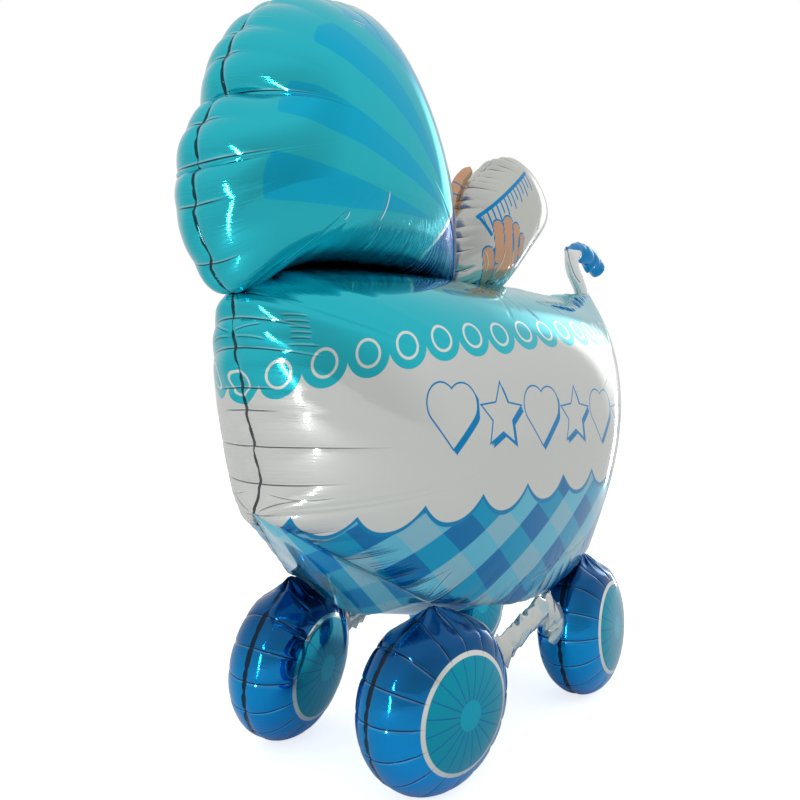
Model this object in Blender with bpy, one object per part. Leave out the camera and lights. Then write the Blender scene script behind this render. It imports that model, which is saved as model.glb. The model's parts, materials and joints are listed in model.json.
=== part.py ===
# A pram-shaped foil balloon: a tub of two side panels and a bottom gusset, a lobed hood,
# a feeding bottle, a push handle, four disc wheels and two arched chassis bars.
# Metres, +Z up. The pram rolls towards -X, its left side faces -Y.

import math

import bmesh
import bpy
import numpy as np
from mathutils import Matrix, Vector

# Wheels: foil discs, one on each gusset corner of the tub
WHEEL_RADIUS = 0.1125
WHEEL_HALF_THICKNESS = 0.060
WHEEL_FACETS = 16
WHEEL_BASE = 0.4278
TRACK = 0.2466
FOOT_DEPTH = 0.0022
NECK_LENGTH = 0.0025
EAR_LENGTH = 0.0040
NECK_LEAN = 0.009
NECK_WIDTH = 0.030
NECK_THICKNESS = 0.018
NECK_FLARE = 1.9
EAR_FLARE = 1.15

# Turn about the upright axis and lean of each wheel, in degrees
WHEEL_PLACES = {
    "wheel_front_left": (-1, -1, -9.1, 2.3),
    "wheel_front_right": (-1, 1, 12.3, 6.0),
    "wheel_back_left": (1, -1, 6.5, -2.5),
    "wheel_back_right": (1, 1, -6.0, -3.0),
}

# Tub
TUB_LENGTH = 0.938
TUB_HEIGHT = 0.475
TUB_HALF_WIDTH = 0.191
GUSSET_SAG = 0.040
GUSSET_BOW = 0.1
UNDER_DIP = 0.6

# Hood
HOOD_LENGTH = 0.376
HOOD_HEIGHT = 0.336
HOOD_HALF_WIDTH = 0.120

# Bottle
BOTTLE_LENGTH = 0.308
BOTTLE_HEIGHT = 0.222
BOTTLE_HALF_WIDTH = 0.062
BOTTLE_CLEARANCE = 0.012

# Handle, set back from the rear end of the tub's top seam
HANDLE_SETBACK = 0.0356
HANDLE_HEIGHT = 0.080
HANDLE_REACH = 0.086
HANDLE_BOW = 0.050
STALK_WIDTH = 0.034
STALK_THICKNESS = 0.026
GRIP_DIAMETER = 0.040
GRIP_THICKNESS = 0.036

# Chassis bars
CHASSIS_RISE = 0.060
CHASSIS_WIDTH = 0.036
CHASSIS_THICKNESS = 0.026
CHASSIS_END_HEIGHT = 0.012
CHASSIS_END_THICKNESS = 0.004
CHASSIS_CLEARANCE = 0.0015
CHASSIS_OFFSET = 0.014

# Clearance between pieces that touch
GAP = 0.0003

NECK_FACE = 2.0 * WHEEL_RADIUS - FOOT_DEPTH + NECK_LENGTH
CORNER_HEIGHT = NECK_FACE + EAR_LENGTH
PANEL_RINGS = 7
TOP_POINTS = 20
SIDE_POINTS = 9
CORNER_POINTS = 6
UNDER_POINTS = 12

# Outlines in the middle plane, as shares of each piece's length and height.
# The tub is measured from the middle of the wheelbase and the height of its gusset corners.
TUB_TOP = [
    (-0.462, 0.762), (-0.426, 0.806), (-0.392, 0.836), (-0.297, 0.865), (-0.138, 0.890),
    (0.000, 0.901), (0.139, 0.914), (0.298, 0.922), (0.394, 0.954), (0.469, 0.983), (0.538, 1.000),
]
TUB_BACK = [(0.538, 1.000), (0.511, 0.900), (0.469, 0.720), (0.440, 0.520), (0.424, 0.380), (0.418, 0.270)]
TUB_FRONT = [(-0.428, 0.244), (-0.416, 0.300), (-0.426, 0.400), (-0.446, 0.540), (-0.461, 0.660), (-0.462, 0.762)]

# The hood is measured from the tub's front top corner.
HOOD_NOTCHES = [(0.000, 0.000), (-0.125, 0.369), (-0.029, 0.613), (0.300, 1.045)]
HOOD_LOBE_RISES = [0.170, 0.200, 0.235]
HOOD_FRONT = [
    (0.300, 1.045), (0.345, 1.090), (0.420, 1.102), (0.520, 1.060), (0.630, 0.940),
    (0.775, 0.740), (0.920, 0.520), (1.040, 0.340), (1.105, 0.190),
]

# The bottle is measured from its front foot on the tub's top line.
BOTTLE_OUTLINE = [
    (0.396, 0.012), (0.618, 0.329), (0.862, 0.586), (0.909, 0.720), (0.656, 0.985), (0.520, 1.040),
    (0.395, 0.995), (0.236, 0.820), (0.099, 0.700), (0.032, 0.500), (-0.015, 0.329), (-0.020, 0.160), (0.000, 0.012),
]

COLORS = {
    "tub": ((0.62, 0.66, 0.68, 1.0), 0.25, 0.55),
    "hood": ((0.03, 0.36, 0.46, 1.0), 0.25, 0.55),
    "bottle": ((0.55, 0.57, 0.56, 1.0), 0.30, 0.45),
    "handle": ((0.70, 0.71, 0.68, 1.0), 0.30, 0.45),
    "wheel": ((0.01, 0.13, 0.38, 1.0), 0.22, 0.60),
    "chassis": ((0.72, 0.72, 0.68, 1.0), 0.28, 0.50),
}


def clear_scene():
    for obj in list(bpy.data.objects):
        bpy.data.objects.remove(obj, do_unlink=True)


def make_material(name):
    color, roughness, metallic = COLORS[name]
    material = bpy.data.materials.new(name + "_foil")
    material.use_nodes = True
    shader = material.node_tree.nodes["Principled BSDF"]
    shader.inputs["Base Color"].default_value = color
    shader.inputs["Roughness"].default_value = roughness
    shader.inputs["Metallic"].default_value = metallic
    return material


def make_object(name, bm, material):
    bmesh.ops.remove_doubles(bm, verts=bm.verts, dist=1e-6)
    bmesh.ops.recalc_face_normals(bm, faces=bm.faces)
    mesh = bpy.data.meshes.new(name)
    bm.to_mesh(mesh)
    bm.free()
    mesh.shade_smooth()
    mesh.set_sharp_from_angle(angle=math.radians(50.0))
    mesh.materials.append(material)
    obj = bpy.data.objects.new(name, mesh)
    bpy.context.scene.collection.objects.link(obj)
    return obj


def smooth_curve(points, count):
    """Evenly spaced samples of a smooth curve through the points, ends included."""
    pts = np.array(points, float)
    ends = np.vstack([2 * pts[0] - pts[1], pts, 2 * pts[-1] - pts[-2]])
    fine = []
    for i in range(len(pts) - 1):
        p0, p1, p2, p3 = ends[i:i + 4]
        for t in np.linspace(0.0, 1.0, 24, endpoint=False):
            fine.append(0.5 * (2 * p1 + (p2 - p0) * t + (2 * p0 - 5 * p1 + 4 * p2 - p3) * t * t
                               + (3 * p1 - p0 - 3 * p2 + p3) * t ** 3))
    fine.append(pts[-1])
    fine = np.array(fine)
    length = np.concatenate([[0.0], np.cumsum(np.linalg.norm(np.diff(fine, axis=0), axis=1))])
    places = np.linspace(0.0, length[-1], count + 1)
    return np.stack([np.interp(places, length, fine[:, k]) for k in range(fine.shape[1])], axis=1)


def arc_lobe(start, end, rise, count):
    """Samples of a round lobe on the left of the way from start to end."""
    start, end = np.array(start), np.array(end)
    chord = end - start
    across = np.array([-chord[1], chord[0]])
    angles = np.linspace(0.0, math.pi, count + 1)
    along = (1.0 - np.cos(angles)) / 2.0
    return start + np.outer(along, chord) + np.outer(np.sin(angles) * rise, across)


def foil_profile(share):
    """Thickness share of an inflated foil disc, for a share of pressure height from 0 to 1."""
    angle = np.linspace(0.0, math.pi / 2.0, 300)
    sine = np.sin(angle)
    slope = sine ** 2 / np.sqrt(1.0 + sine ** 2)
    done = np.concatenate([[0.0], np.cumsum((slope[1:] + slope[:-1]) / 2.0 * np.diff(angle))])
    return np.interp(np.sqrt(1.0 - np.clip(share, 0.0, 1.0)), sine, 1.0 - done / done[-1])


def foil_share(thickness):
    """Pressure height at which foil_profile gives the thickness share."""
    shares = np.linspace(0.0, 1.0, 2001)
    return np.interp(thickness, foil_profile(shares), shares)


def panel_rings(outline, middle, rings):
    """Rings of points that shrink from the outline to the middle, closest together at the rim."""
    steps = 1.0 - np.cos(np.linspace(0.0, math.pi / 2.0, rings + 1))
    return np.array([middle + (outline - middle) * (1.0 - step) for step in steps[:-1]])


def pressure_height(rings, middle, rim):
    """Height of an even membrane under pressure over the panel, with the rim held at the given heights."""
    ring_count, around = rings.shape[:2]
    points = np.vstack([rings.reshape(-1, 2), middle[None]])
    center = ring_count * around
    triangles = []
    for ring in range(ring_count):
        for i in range(around):
            a = ring * around + i
            b = ring * around + (i + 1) % around
            if ring + 1 == ring_count:
                triangles.append((a, b, center))
            else:
                triangles += [(a, b, b + around), (a, b + around, a + around)]
    size = len(points)
    stiff = np.zeros((size, size))
    load = np.zeros(size)
    for triangle in triangles:
        corner = points[list(triangle)]
        edges = corner[[2, 0, 1]] - corner[[1, 2, 0]]
        area = abs(edges[0][0] * edges[1][1] - edges[0][1] * edges[1][0]) / 2.0
        stiff[np.ix_(triangle, triangle)] += edges @ edges.T / (4.0 * area)
        load[list(triangle)] += area / 3.0
    free = np.arange(around, size)
    inner = stiff[np.ix_(free, free)]
    held = np.linalg.solve(inner, -stiff[np.ix_(free, np.arange(around))] @ rim)
    blown = np.linalg.solve(inner, load[free])
    scale = 1.0 / blown.max()
    for _ in range(30):
        scale /= (held + scale * blown).max()
    return np.concatenate([rim, held + scale * blown])


def add_strip(bm, first, second, closed=True):
    """Quads between two rows of vertices."""
    count = len(first)
    for i in range(count if closed else count - 1):
        j = (i + 1) % count
        corners = []
        for vert in (first[i], first[j], second[j], second[i]):
            if vert not in corners:
                corners.append(vert)
        if len(corners) > 2 and bm.faces.get(corners) is None:
            bm.faces.new(corners)


def panel_half(bm, rings, middle, heights, half_width, side, rim_verts):
    """One blown side panel from its rim vertices to its middle."""
    around = rings.shape[1]
    rows = [rim_verts]
    for ring in range(1, rings.shape[0]):
        row = []
        for i in range(around):
            x, z = rings[ring][i]
            y = side * half_width * foil_profile(heights[ring * around + i])
            row.append(bm.verts.new((x, y, z)))
        rows.append(row)
    top = bm.verts.new((middle[0], side * half_width, middle[1]))
    for first, second in zip(rows, rows[1:]):
        add_strip(bm, first, second)
    for i in range(around):
        bm.faces.new((rows[-1][i], rows[-1][(i + 1) % around], top))


def pillow(outline, middle, half_width):
    """Two panels sealed to each other all round the outline."""
    bm = bmesh.new()
    rings = panel_rings(outline, middle, PANEL_RINGS)
    heights = pressure_height(rings, middle, np.zeros(len(outline)))
    rim = [bm.verts.new((x, 0.0, z)) for x, z in outline]
    for side in (-1.0, 1.0):
        panel_half(bm, rings, middle, heights, half_width, side, rim)
    return bm


def tub_point(share):
    return (share[0] * TUB_LENGTH, CORNER_HEIGHT + share[1] * TUB_HEIGHT)


def top_seam():
    """Points of the tub's top seam, front to back."""
    return smooth_curve([tub_point(share) for share in TUB_TOP], TOP_POINTS)


def top_line(x):
    """Height of the tub's top seam."""
    seam = top_seam()
    return float(np.interp(x, seam[:, 0], seam[:, 1]))


def foot_outline(back, front):
    """The tub's top seam from back to front, a gap above it."""
    apart = 0.1 * TUB_LENGTH / TOP_POINTS
    inner = [x for x in top_seam()[::-1, 0] if front + apart < x < back - apart]
    return np.array([(x, top_line(x) + GAP) for x in [back] + inner + [front]])


def tub_outline():
    """Closed outline of a side panel, and the half width of the bottom seam at each of its points."""
    corner_x = WHEEL_BASE / 2.0 + NECK_LEAN
    corner_y = TRACK / 2.0
    top = top_seam()
    back = smooth_curve([tub_point(share) for share in TUB_BACK], SIDE_POINTS)
    front = smooth_curve([tub_point(share) for share in TUB_FRONT], SIDE_POINTS)
    corner_back = np.array([corner_x, CORNER_HEIGHT])
    corner_front = np.array([-corner_x, CORNER_HEIGHT])
    turns = np.linspace(1.0, -1.0, UNDER_POINTS + 1)
    dip = UNDER_DIP * GUSSET_SAG * np.cos(turns * math.pi / 2.0) ** 2
    under = np.stack([turns * corner_x, CORNER_HEIGHT - dip], axis=1)
    rise_back = smooth_curve([back[-1], corner_back], CORNER_POINTS)
    rise_front = smooth_curve([corner_front, front[0]], CORNER_POINTS)
    outline = np.vstack([top[:-1], back[:-1], rise_back[:-1], under[:-1], rise_front[:-1], front[:-1]])
    opening = np.linspace(0.0, corner_y, CORNER_POINTS + 1)
    bow = GUSSET_BOW * corner_y * np.cos(turns * math.pi / 2.0)
    width = np.concatenate([
        np.zeros(TOP_POINTS + SIDE_POINTS), opening[:-1], (corner_y + bow)[:-1],
        opening[:0:-1], np.zeros(SIDE_POINTS),
    ])
    return outline, width


def make_tub():
    outline, width = tub_outline()
    middle = np.array([0.03 * TUB_LENGTH, CORNER_HEIGHT + 0.42 * TUB_HEIGHT])
    rings = panel_rings(outline, middle, PANEL_RINGS)
    rim_heights = foil_share(width / TUB_HALF_WIDTH)
    heights = pressure_height(rings, middle, rim_heights)
    bm = bmesh.new()
    rims = {-1.0: [], 1.0: []}
    for (x, z), y in zip(outline, width):
        first = bm.verts.new((x, -y, z))
        rims[-1.0].append(first)
        rims[1.0].append(first if y == 0.0 else bm.verts.new((x, y, z)))
    for side in (-1.0, 1.0):
        panel_half(bm, rings, middle, heights, TUB_HALF_WIDTH, side, rims[side])
    bottom = [i for i in range(len(outline)) if width[i] > 0.0]
    bottom = [bottom[0] - 1] + bottom + [bottom[-1] + 1]
    columns = [[rims[-1.0][i] for i in bottom]]
    for share in (-0.72, -0.4, 0.0, 0.4, 0.72):
        column = []
        for i in bottom:
            x, z = outline[i]
            sag = GUSSET_SAG * (width[i] / (TRACK / 2.0)) * (1.0 - share * share) ** 2
            column.append(rims[-1.0][i] if width[i] == 0.0 else bm.verts.new((x, share * width[i], z - sag)))
        columns.append(column)
    columns.append([rims[1.0][i] for i in bottom])
    for first, second in zip(columns, columns[1:]):
        add_strip(bm, first, second, closed=False)
    return make_object("tub", bm, make_material("tub"))


def make_hood():
    corner = np.array(tub_point(TUB_TOP[0]))
    size = np.array([HOOD_LENGTH, HOOD_HEIGHT])
    notches = [corner + np.array(share) * size for share in HOOD_NOTCHES]
    lobes = []
    for start, end, rise, count in zip(notches, notches[1:], HOOD_LOBE_RISES, (9, 8, 14)):
        lobes.append(arc_lobe(start, end, rise, count)[:-1])
    front_points = [corner + np.array(share) * size for share in HOOD_FRONT[:-1]]
    foot_x = corner[0] + HOOD_FRONT[-1][0] * HOOD_LENGTH
    front_points.append(np.array([foot_x, top_line(foot_x) + GAP]))
    front = smooth_curve(front_points, 24)
    foot = foot_outline(foot_x, corner[0])
    outline = np.vstack(lobes + [front[:-1], foot[:-1]])
    outline[0] += np.array([0.0, GAP])
    middle = corner + np.array([0.40, 0.56]) * size
    bm = pillow(outline, middle, HOOD_HALF_WIDTH)
    return make_object("hood", bm, make_material("hood"))


def make_bottle():
    hood_foot = tub_point(TUB_TOP[0])[0] + HOOD_FRONT[-1][0] * HOOD_LENGTH
    setback = hood_foot + BOTTLE_CLEARANCE
    foot = np.array([setback, top_line(setback)])
    size = np.array([BOTTLE_LENGTH, BOTTLE_HEIGHT])
    points = [foot + np.array(share) * size for share in BOTTLE_OUTLINE]
    points[0][1] = top_line(points[0][0]) + GAP
    points[-1][1] = top_line(points[-1][0]) + GAP
    shell = smooth_curve(points, 40)
    seat = foot_outline(points[0][0], points[-1][0])[::-1]
    outline = np.vstack([shell[:-1], seat[:-1]])
    middle = foot + np.array([0.56, 0.50]) * size
    bm = pillow(outline, middle, BOTTLE_HALF_WIDTH)
    return make_object("bottle", bm, make_material("bottle"))


def tube(path, widths, thicknesses, sides):
    """A closed tube of oval section along a path in the middle plane."""
    bm = bmesh.new()
    rows = []
    for i, (x, z) in enumerate(path):
        before, after = path[max(i - 1, 0)], path[min(i + 1, len(path) - 1)]
        way = Vector((after[0] - before[0], after[1] - before[1])).normalized()
        row = []
        for k in range(sides):
            angle = 2.0 * math.pi * k / sides
            across = math.cos(angle) * widths[i] / 2.0
            out = math.sin(angle) * thicknesses[i] / 2.0
            row.append(bm.verts.new((x - way.y * across, out, z + way.x * across)))
        rows.append(row)
    for first, second in zip(rows, rows[1:]):
        add_strip(bm, first, second)
    bm.faces.new(rows[0])
    bm.faces.new(rows[-1])
    return bm


def handle_foot():
    return tub_point(TUB_TOP[-1])[0] - HANDLE_SETBACK


def make_handle():
    foot_x = handle_foot()
    base_z = top_line(foot_x)
    points = [
        (foot_x, base_z - 0.2 * HANDLE_HEIGHT), (foot_x - 0.24 * HANDLE_BOW, base_z + 0.18 * HANDLE_HEIGHT),
        (foot_x - 0.84 * HANDLE_BOW, base_z + 0.50 * HANDLE_HEIGHT), (foot_x - HANDLE_BOW, base_z + 0.80 * HANDLE_HEIGHT),
        (foot_x - 0.6 * HANDLE_BOW, base_z + 1.02 * HANDLE_HEIGHT), (foot_x + 0.12 * HANDLE_REACH, base_z + HANDLE_HEIGHT),
        (foot_x + 0.6 * HANDLE_REACH, base_z + 0.88 * HANDLE_HEIGHT),
        (foot_x + HANDLE_REACH, base_z + 0.66 * HANDLE_HEIGHT),
    ]
    count = 22
    path = smooth_curve(points, count)
    share = np.linspace(0.0, 1.0, count + 1)
    grip_share = np.clip((share - 0.52) / 0.10, 0.0, 1.0)
    widths = STALK_WIDTH + (GRIP_DIAMETER - STALK_WIDTH) * grip_share
    thicknesses = STALK_THICKNESS + (GRIP_THICKNESS - STALK_THICKNESS) * grip_share
    ending = np.clip((1.0 - share) / 0.06, 0.25, 1.0) ** 0.5
    bm = tube(path, widths * ending, thicknesses * ending, 10)
    handle = make_object("handle", bm, make_material("handle"))
    trim_below_top(handle)
    return handle


def trim_below_top(obj):
    """Cuts the foot of a piece off along the slope of the tub's top seam, a gap above it."""
    foot_x = handle_foot()
    ahead = foot_x - STALK_WIDTH
    behind = foot_x + STALK_WIDTH
    slope = Vector((behind - ahead, 0.0, top_line(behind) - top_line(ahead))).normalized()
    bm = bmesh.new()
    bm.from_mesh(obj.data)
    result = bmesh.ops.bisect_plane(
        bm, geom=bm.verts[:] + bm.edges[:] + bm.faces[:], dist=1e-7,
        plane_co=(foot_x, 0.0, top_line(foot_x) + 2.0 * GAP),
        plane_no=(-slope.z, 0.0, slope.x), clear_inner=True)
    edges = [item for item in result["geom_cut"] if isinstance(item, bmesh.types.BMEdge)]
    bmesh.ops.holes_fill(bm, edges=edges, sides=0)
    bmesh.ops.recalc_face_normals(bm, faces=bm.faces)
    bm.to_mesh(obj.data)
    bm.free()


def wheel_turn(turn, lean):
    return Matrix.Rotation(math.radians(turn), 3, "Z") @ Matrix.Rotation(math.radians(lean), 3, "X")


def wheel_center(front, side):
    return Vector((front * WHEEL_BASE / 2.0, side * TRACK / 2.0, WHEEL_RADIUS - FOOT_DEPTH))


def wheel_profile():
    """Radius and half thickness at the turned rings of a wheel, from the rim inwards."""
    shares = np.sin(np.linspace(math.pi / 2.0, 0.0, 8))[:-1]
    return [(WHEEL_RADIUS * s, WHEEL_HALF_THICKNESS * float(foil_profile(1.0 - s * s))) for s in shares]


def facet_scale(angle, share):
    """Pulls the rim in to flat facets between the creases, fading to round towards the disc's middle."""
    step = 2.0 * math.pi / WHEEL_FACETS
    inside = (angle % step) - step / 2.0
    flat = math.cos(step / 2.0) / math.cos(inside)
    fade = max(0.0, min(1.0, (share - 0.6) / 0.3))
    return 1.0 + (flat - 1.0) * fade


def make_wheel(name, front, side, turn, lean):
    turned = wheel_turn(turn, lean)
    center = wheel_center(front, side)
    bm = bmesh.new()
    count = 2 * WHEEL_FACETS
    rows = []
    profile = wheel_profile()
    for half in (1.0, -1.0):
        for radius, thickness in (profile if half > 0 else profile[1:]):
            row = []
            for k in range(count):
                angle = 2.0 * math.pi * k / count
                reach = radius * facet_scale(angle, radius / WHEEL_RADIUS)
                local = Vector((reach * math.cos(angle), half * thickness, reach * math.sin(angle)))
                row.append(bm.verts.new(center + turned @ local))
            rows.append(row)
    split = len(profile)
    for start in (0, split):
        group = rows[:split] if start == 0 else [rows[0]] + rows[split:]
        for first, second in zip(group, group[1:]):
            add_strip(bm, first, second)
        pole = 1.0 if start == 0 else -1.0
        tip = bm.verts.new(center + turned @ Vector((0.0, pole * WHEEL_HALF_THICKNESS, 0.0)))
        for k in range(count):
            bm.faces.new((group[-1][k], group[-1][(k + 1) % count], tip))
    bmesh.ops.recalc_face_normals(bm, faces=bm.faces)
    flatten_foot(bm)
    wheel = make_object(name, bm, bpy.data.materials.get("wheel_foil") or make_material("wheel"))
    join_neck(wheel, front, side)
    return wheel


def flatten_foot(bm):
    """Cuts the wheel off flat where it stands on the ground."""
    result = bmesh.ops.bisect_plane(
        bm, geom=bm.verts[:] + bm.edges[:] + bm.faces[:], dist=1e-7,
        plane_co=(0.0, 0.0, 0.0), plane_no=(0.0, 0.0, 1.0), clear_inner=True)
    edges = [item for item in result["geom_cut"] if isinstance(item, bmesh.types.BMEdge)]
    bmesh.ops.holes_fill(bm, edges=edges, sides=0)


def neck_block(name, front, side, low, high):
    """A tapered block on a gusset corner, from a low to a high section of height, scale and lean."""
    x = front * (WHEEL_BASE / 2.0 + NECK_LEAN)
    y = side * TRACK / 2.0
    bm = bmesh.new()
    rows = []
    for z, scale, lean in (low, high):
        width, depth = NECK_WIDTH * scale / 2.0, NECK_THICKNESS * scale / 2.0
        rows.append([bm.verts.new((x - front * lean + i * width, y + j * depth, z))
                     for i, j in ((-1, -1), (1, -1), (1, 1), (-1, 1))])
    add_strip(bm, rows[0], rows[1])
    bm.faces.new(rows[0])
    bm.faces.new(rows[1])
    bmesh.ops.recalc_face_normals(bm, faces=bm.faces)
    mesh = bpy.data.meshes.new(name)
    bm.to_mesh(mesh)
    bm.free()
    block = bpy.data.objects.new(name, mesh)
    bpy.context.scene.collection.objects.link(block)
    block.hide_render = True
    block.display_type = "WIRE"
    return block


def join_block(obj, block):
    union = obj.modifiers.new(block.name, "BOOLEAN")
    union.operation = "UNION"
    union.solver = "EXACT"
    union.object = block


def join_neck(wheel, front, side):
    """Joins a neck to the top of a wheel, flared where it sinks into the disc."""
    face = NECK_FACE - GAP
    low = (face - 0.35 * WHEEL_RADIUS, NECK_FLARE, NECK_LEAN)
    join_block(wheel, neck_block(wheel.name + "_neck", front, side, low, (face, 1.0, 0.0)))


def join_ear(tub, front, side):
    """Joins an ear to a gusset corner of the tub, down to the face of the wheel's neck."""
    high = (NECK_FACE + 0.16 * WHEEL_RADIUS, EAR_FLARE, NECK_LEAN)
    name = "tub_ear_%s_%s" % ("front" if front < 0 else "back", "left" if side < 0 else "right")
    join_block(tub, neck_block(name, front, side, (NECK_FACE, 1.0, 0.0), high))


def chassis_path():
    """The bar's line from the front wheel's rim to the back wheel's, arched towards the back."""
    reach = WHEEL_BASE / 2.0 - WHEEL_RADIUS - CHASSIS_CLEARANCE
    axle = WHEEL_RADIUS - FOOT_DEPTH
    points = [
        (0.3 * CHASSIS_END_HEIGHT - reach, axle + 0.33 * CHASSIS_RISE), (-0.55 * reach, axle + 0.55 * CHASSIS_RISE),
        (0.0, axle + 0.86 * CHASSIS_RISE), (0.46 * reach, axle + CHASSIS_RISE),
        (0.84 * reach, axle + 0.62 * CHASSIS_RISE), (reach - 0.6 * CHASSIS_END_HEIGHT, axle),
    ]
    return smooth_curve(points, 16)


def make_chassis(name, side):
    path = chassis_path()
    share = np.linspace(0.0, 1.0, len(path))
    ends = np.clip(np.minimum(share, 1.0 - share) / 0.16, 0.0, 1.0)
    widths = CHASSIS_END_HEIGHT + (CHASSIS_WIDTH - CHASSIS_END_HEIGHT) * np.sin(ends * math.pi / 2.0)
    thickening = (CHASSIS_THICKNESS - CHASSIS_END_THICKNESS) * np.sin(ends * math.pi / 2.0)
    thicknesses = CHASSIS_END_THICKNESS + thickening
    bm = tube(path, widths, thicknesses, 10)
    line = TRACK / 2.0 + CHASSIS_OFFSET
    bmesh.ops.translate(bm, verts=bm.verts, vec=(0.0, side * line, 0.0))
    return make_object(name, bm, bpy.data.materials.get("chassis_foil") or make_material("chassis"))


def settle(objects):
    """Moves all the pieces along X, so that the origin is below the middle of their whole length."""
    bpy.context.view_layer.update()
    graph = bpy.context.evaluated_depsgraph_get()
    reach = []
    for obj in objects:
        corners = [obj.evaluated_get(graph).matrix_world @ Vector(c) for c in obj.evaluated_get(graph).bound_box]
        reach += [corner.x for corner in corners]
    shift = -(min(reach) + max(reach)) / 2.0
    for obj in bpy.data.objects:
        obj.location.x += shift


def main():
    clear_scene()
    pieces = [make_tub(), make_hood(), make_bottle(), make_handle()]
    for front in (-1, 1):
        for side in (-1, 1):
            join_ear(pieces[0], front, side)
    for name, (front, side, turn, lean) in WHEEL_PLACES.items():
        pieces.append(make_wheel(name, front, side, turn, lean))
    for name, side in (("chassis_left", -1), ("chassis_right", 1)):
        pieces.append(make_chassis(name, side))
    settle(pieces)


main()
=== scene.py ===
# Pram-shaped foil balloon: inflated foil shells with gathered seams and printed patterns.
# Metres, +Z up, the hood end faces -X and the left side -Y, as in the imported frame.

import json
import math
from functools import partialmethod

import bmesh
import bpy
import numpy as np
from mathutils import Matrix, Vector

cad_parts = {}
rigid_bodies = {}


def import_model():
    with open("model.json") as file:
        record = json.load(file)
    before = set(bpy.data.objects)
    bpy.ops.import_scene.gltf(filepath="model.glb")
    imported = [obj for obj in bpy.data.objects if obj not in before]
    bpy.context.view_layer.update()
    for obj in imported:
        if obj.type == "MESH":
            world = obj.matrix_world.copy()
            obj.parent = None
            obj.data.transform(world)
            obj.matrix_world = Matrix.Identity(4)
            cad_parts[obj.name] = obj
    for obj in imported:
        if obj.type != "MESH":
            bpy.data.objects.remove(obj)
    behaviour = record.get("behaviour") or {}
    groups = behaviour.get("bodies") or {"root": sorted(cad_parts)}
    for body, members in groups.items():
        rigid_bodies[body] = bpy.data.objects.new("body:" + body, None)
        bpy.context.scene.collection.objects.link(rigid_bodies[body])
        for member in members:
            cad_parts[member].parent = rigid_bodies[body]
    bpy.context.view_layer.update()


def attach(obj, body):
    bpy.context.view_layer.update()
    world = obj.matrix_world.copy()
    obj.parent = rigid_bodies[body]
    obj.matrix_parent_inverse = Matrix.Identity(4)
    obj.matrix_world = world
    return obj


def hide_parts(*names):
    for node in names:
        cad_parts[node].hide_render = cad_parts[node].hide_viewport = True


for obj in list(bpy.data.objects):
    bpy.data.objects.remove(obj, do_unlink=True)
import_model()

baseX = -0.0357          # middle of the wheelbase
wheelRadius = 0.1125
wheelBase = 0.4278
track = 0.2466
axleHeight = 0.1103
cornerHeight = 0.2293    # height of the tub's bottom corners
neckHeight = 0.2272      # where a wheel's neck meets the tub


# Shape tools

def smoothCurve(points, count):    # evenly spaced samples of a smooth curve through the points
    pts = np.array(points, float)
    ends = np.vstack([2 * pts[0] - pts[1], pts, 2 * pts[-1] - pts[-2]])
    places = np.linspace(0.0, len(pts) - 1.0, 24 * (len(pts) - 1) + 1)
    fine = cubicAt(ends, places + 1.0)
    length = np.concatenate([[0.0], np.cumsum(np.linalg.norm(np.diff(fine, axis=0), axis=1))])
    even = np.linspace(0.0, length[-1], count + 1)
    return np.stack([np.interp(even, length, fine[:, k]) for k in range(fine.shape[1])], axis=1)


def cubicAt(values, places, wrap=False):
    n = len(values)
    i = np.floor(places).astype(int)
    if not wrap:
        i = np.clip(i, 0, n - 2)
    t = (places - i).reshape([-1] + [1] * (values.ndim - 1))
    p0, p1, p2, p3 = [values[(i + k) % n] if wrap else values[np.clip(i + k, 0, n - 1)] for k in (-1, 0, 1, 2)]
    return 0.5 * (2 * p1 + (p2 - p0) * t + (2 * p0 - 5 * p1 + 4 * p2 - p3) * t * t
                  + (3 * p1 - p0 - 3 * p2 + p3) * t ** 3)


def arcLobe(start, end, rise, count):
    start, end = np.array(start), np.array(end)
    chord = end - start
    across = np.array([-chord[1], chord[0]])
    angles = np.linspace(0.0, math.pi, count + 1)
    return start + np.outer((1.0 - np.cos(angles)) / 2.0, chord) + np.outer(np.sin(angles) * rise, across)


profileAngle = np.linspace(0.0, math.pi / 2.0, 600)
profileSine = np.sin(profileAngle)
profileSlope = profileSine ** 2 / np.sqrt(1.0 + profileSine ** 2)
profileSteps = (profileSlope[1:] + profileSlope[:-1]) / 2 * np.diff(profileAngle)
profileDone = np.concatenate([[0.0], np.cumsum(profileSteps)])


def foilProfile(share):            # thickness of a blown foil disc for a share of pressure height
    return np.interp(np.sqrt(1.0 - np.clip(share, 0.0, 1.0)), profileSine, 1.0 - profileDone / profileDone[-1])


def foilShare(thickness):
    shares = np.linspace(0.0, 1.0, 4001) ** 2
    return np.interp(thickness, foilProfile(shares), shares)


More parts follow.
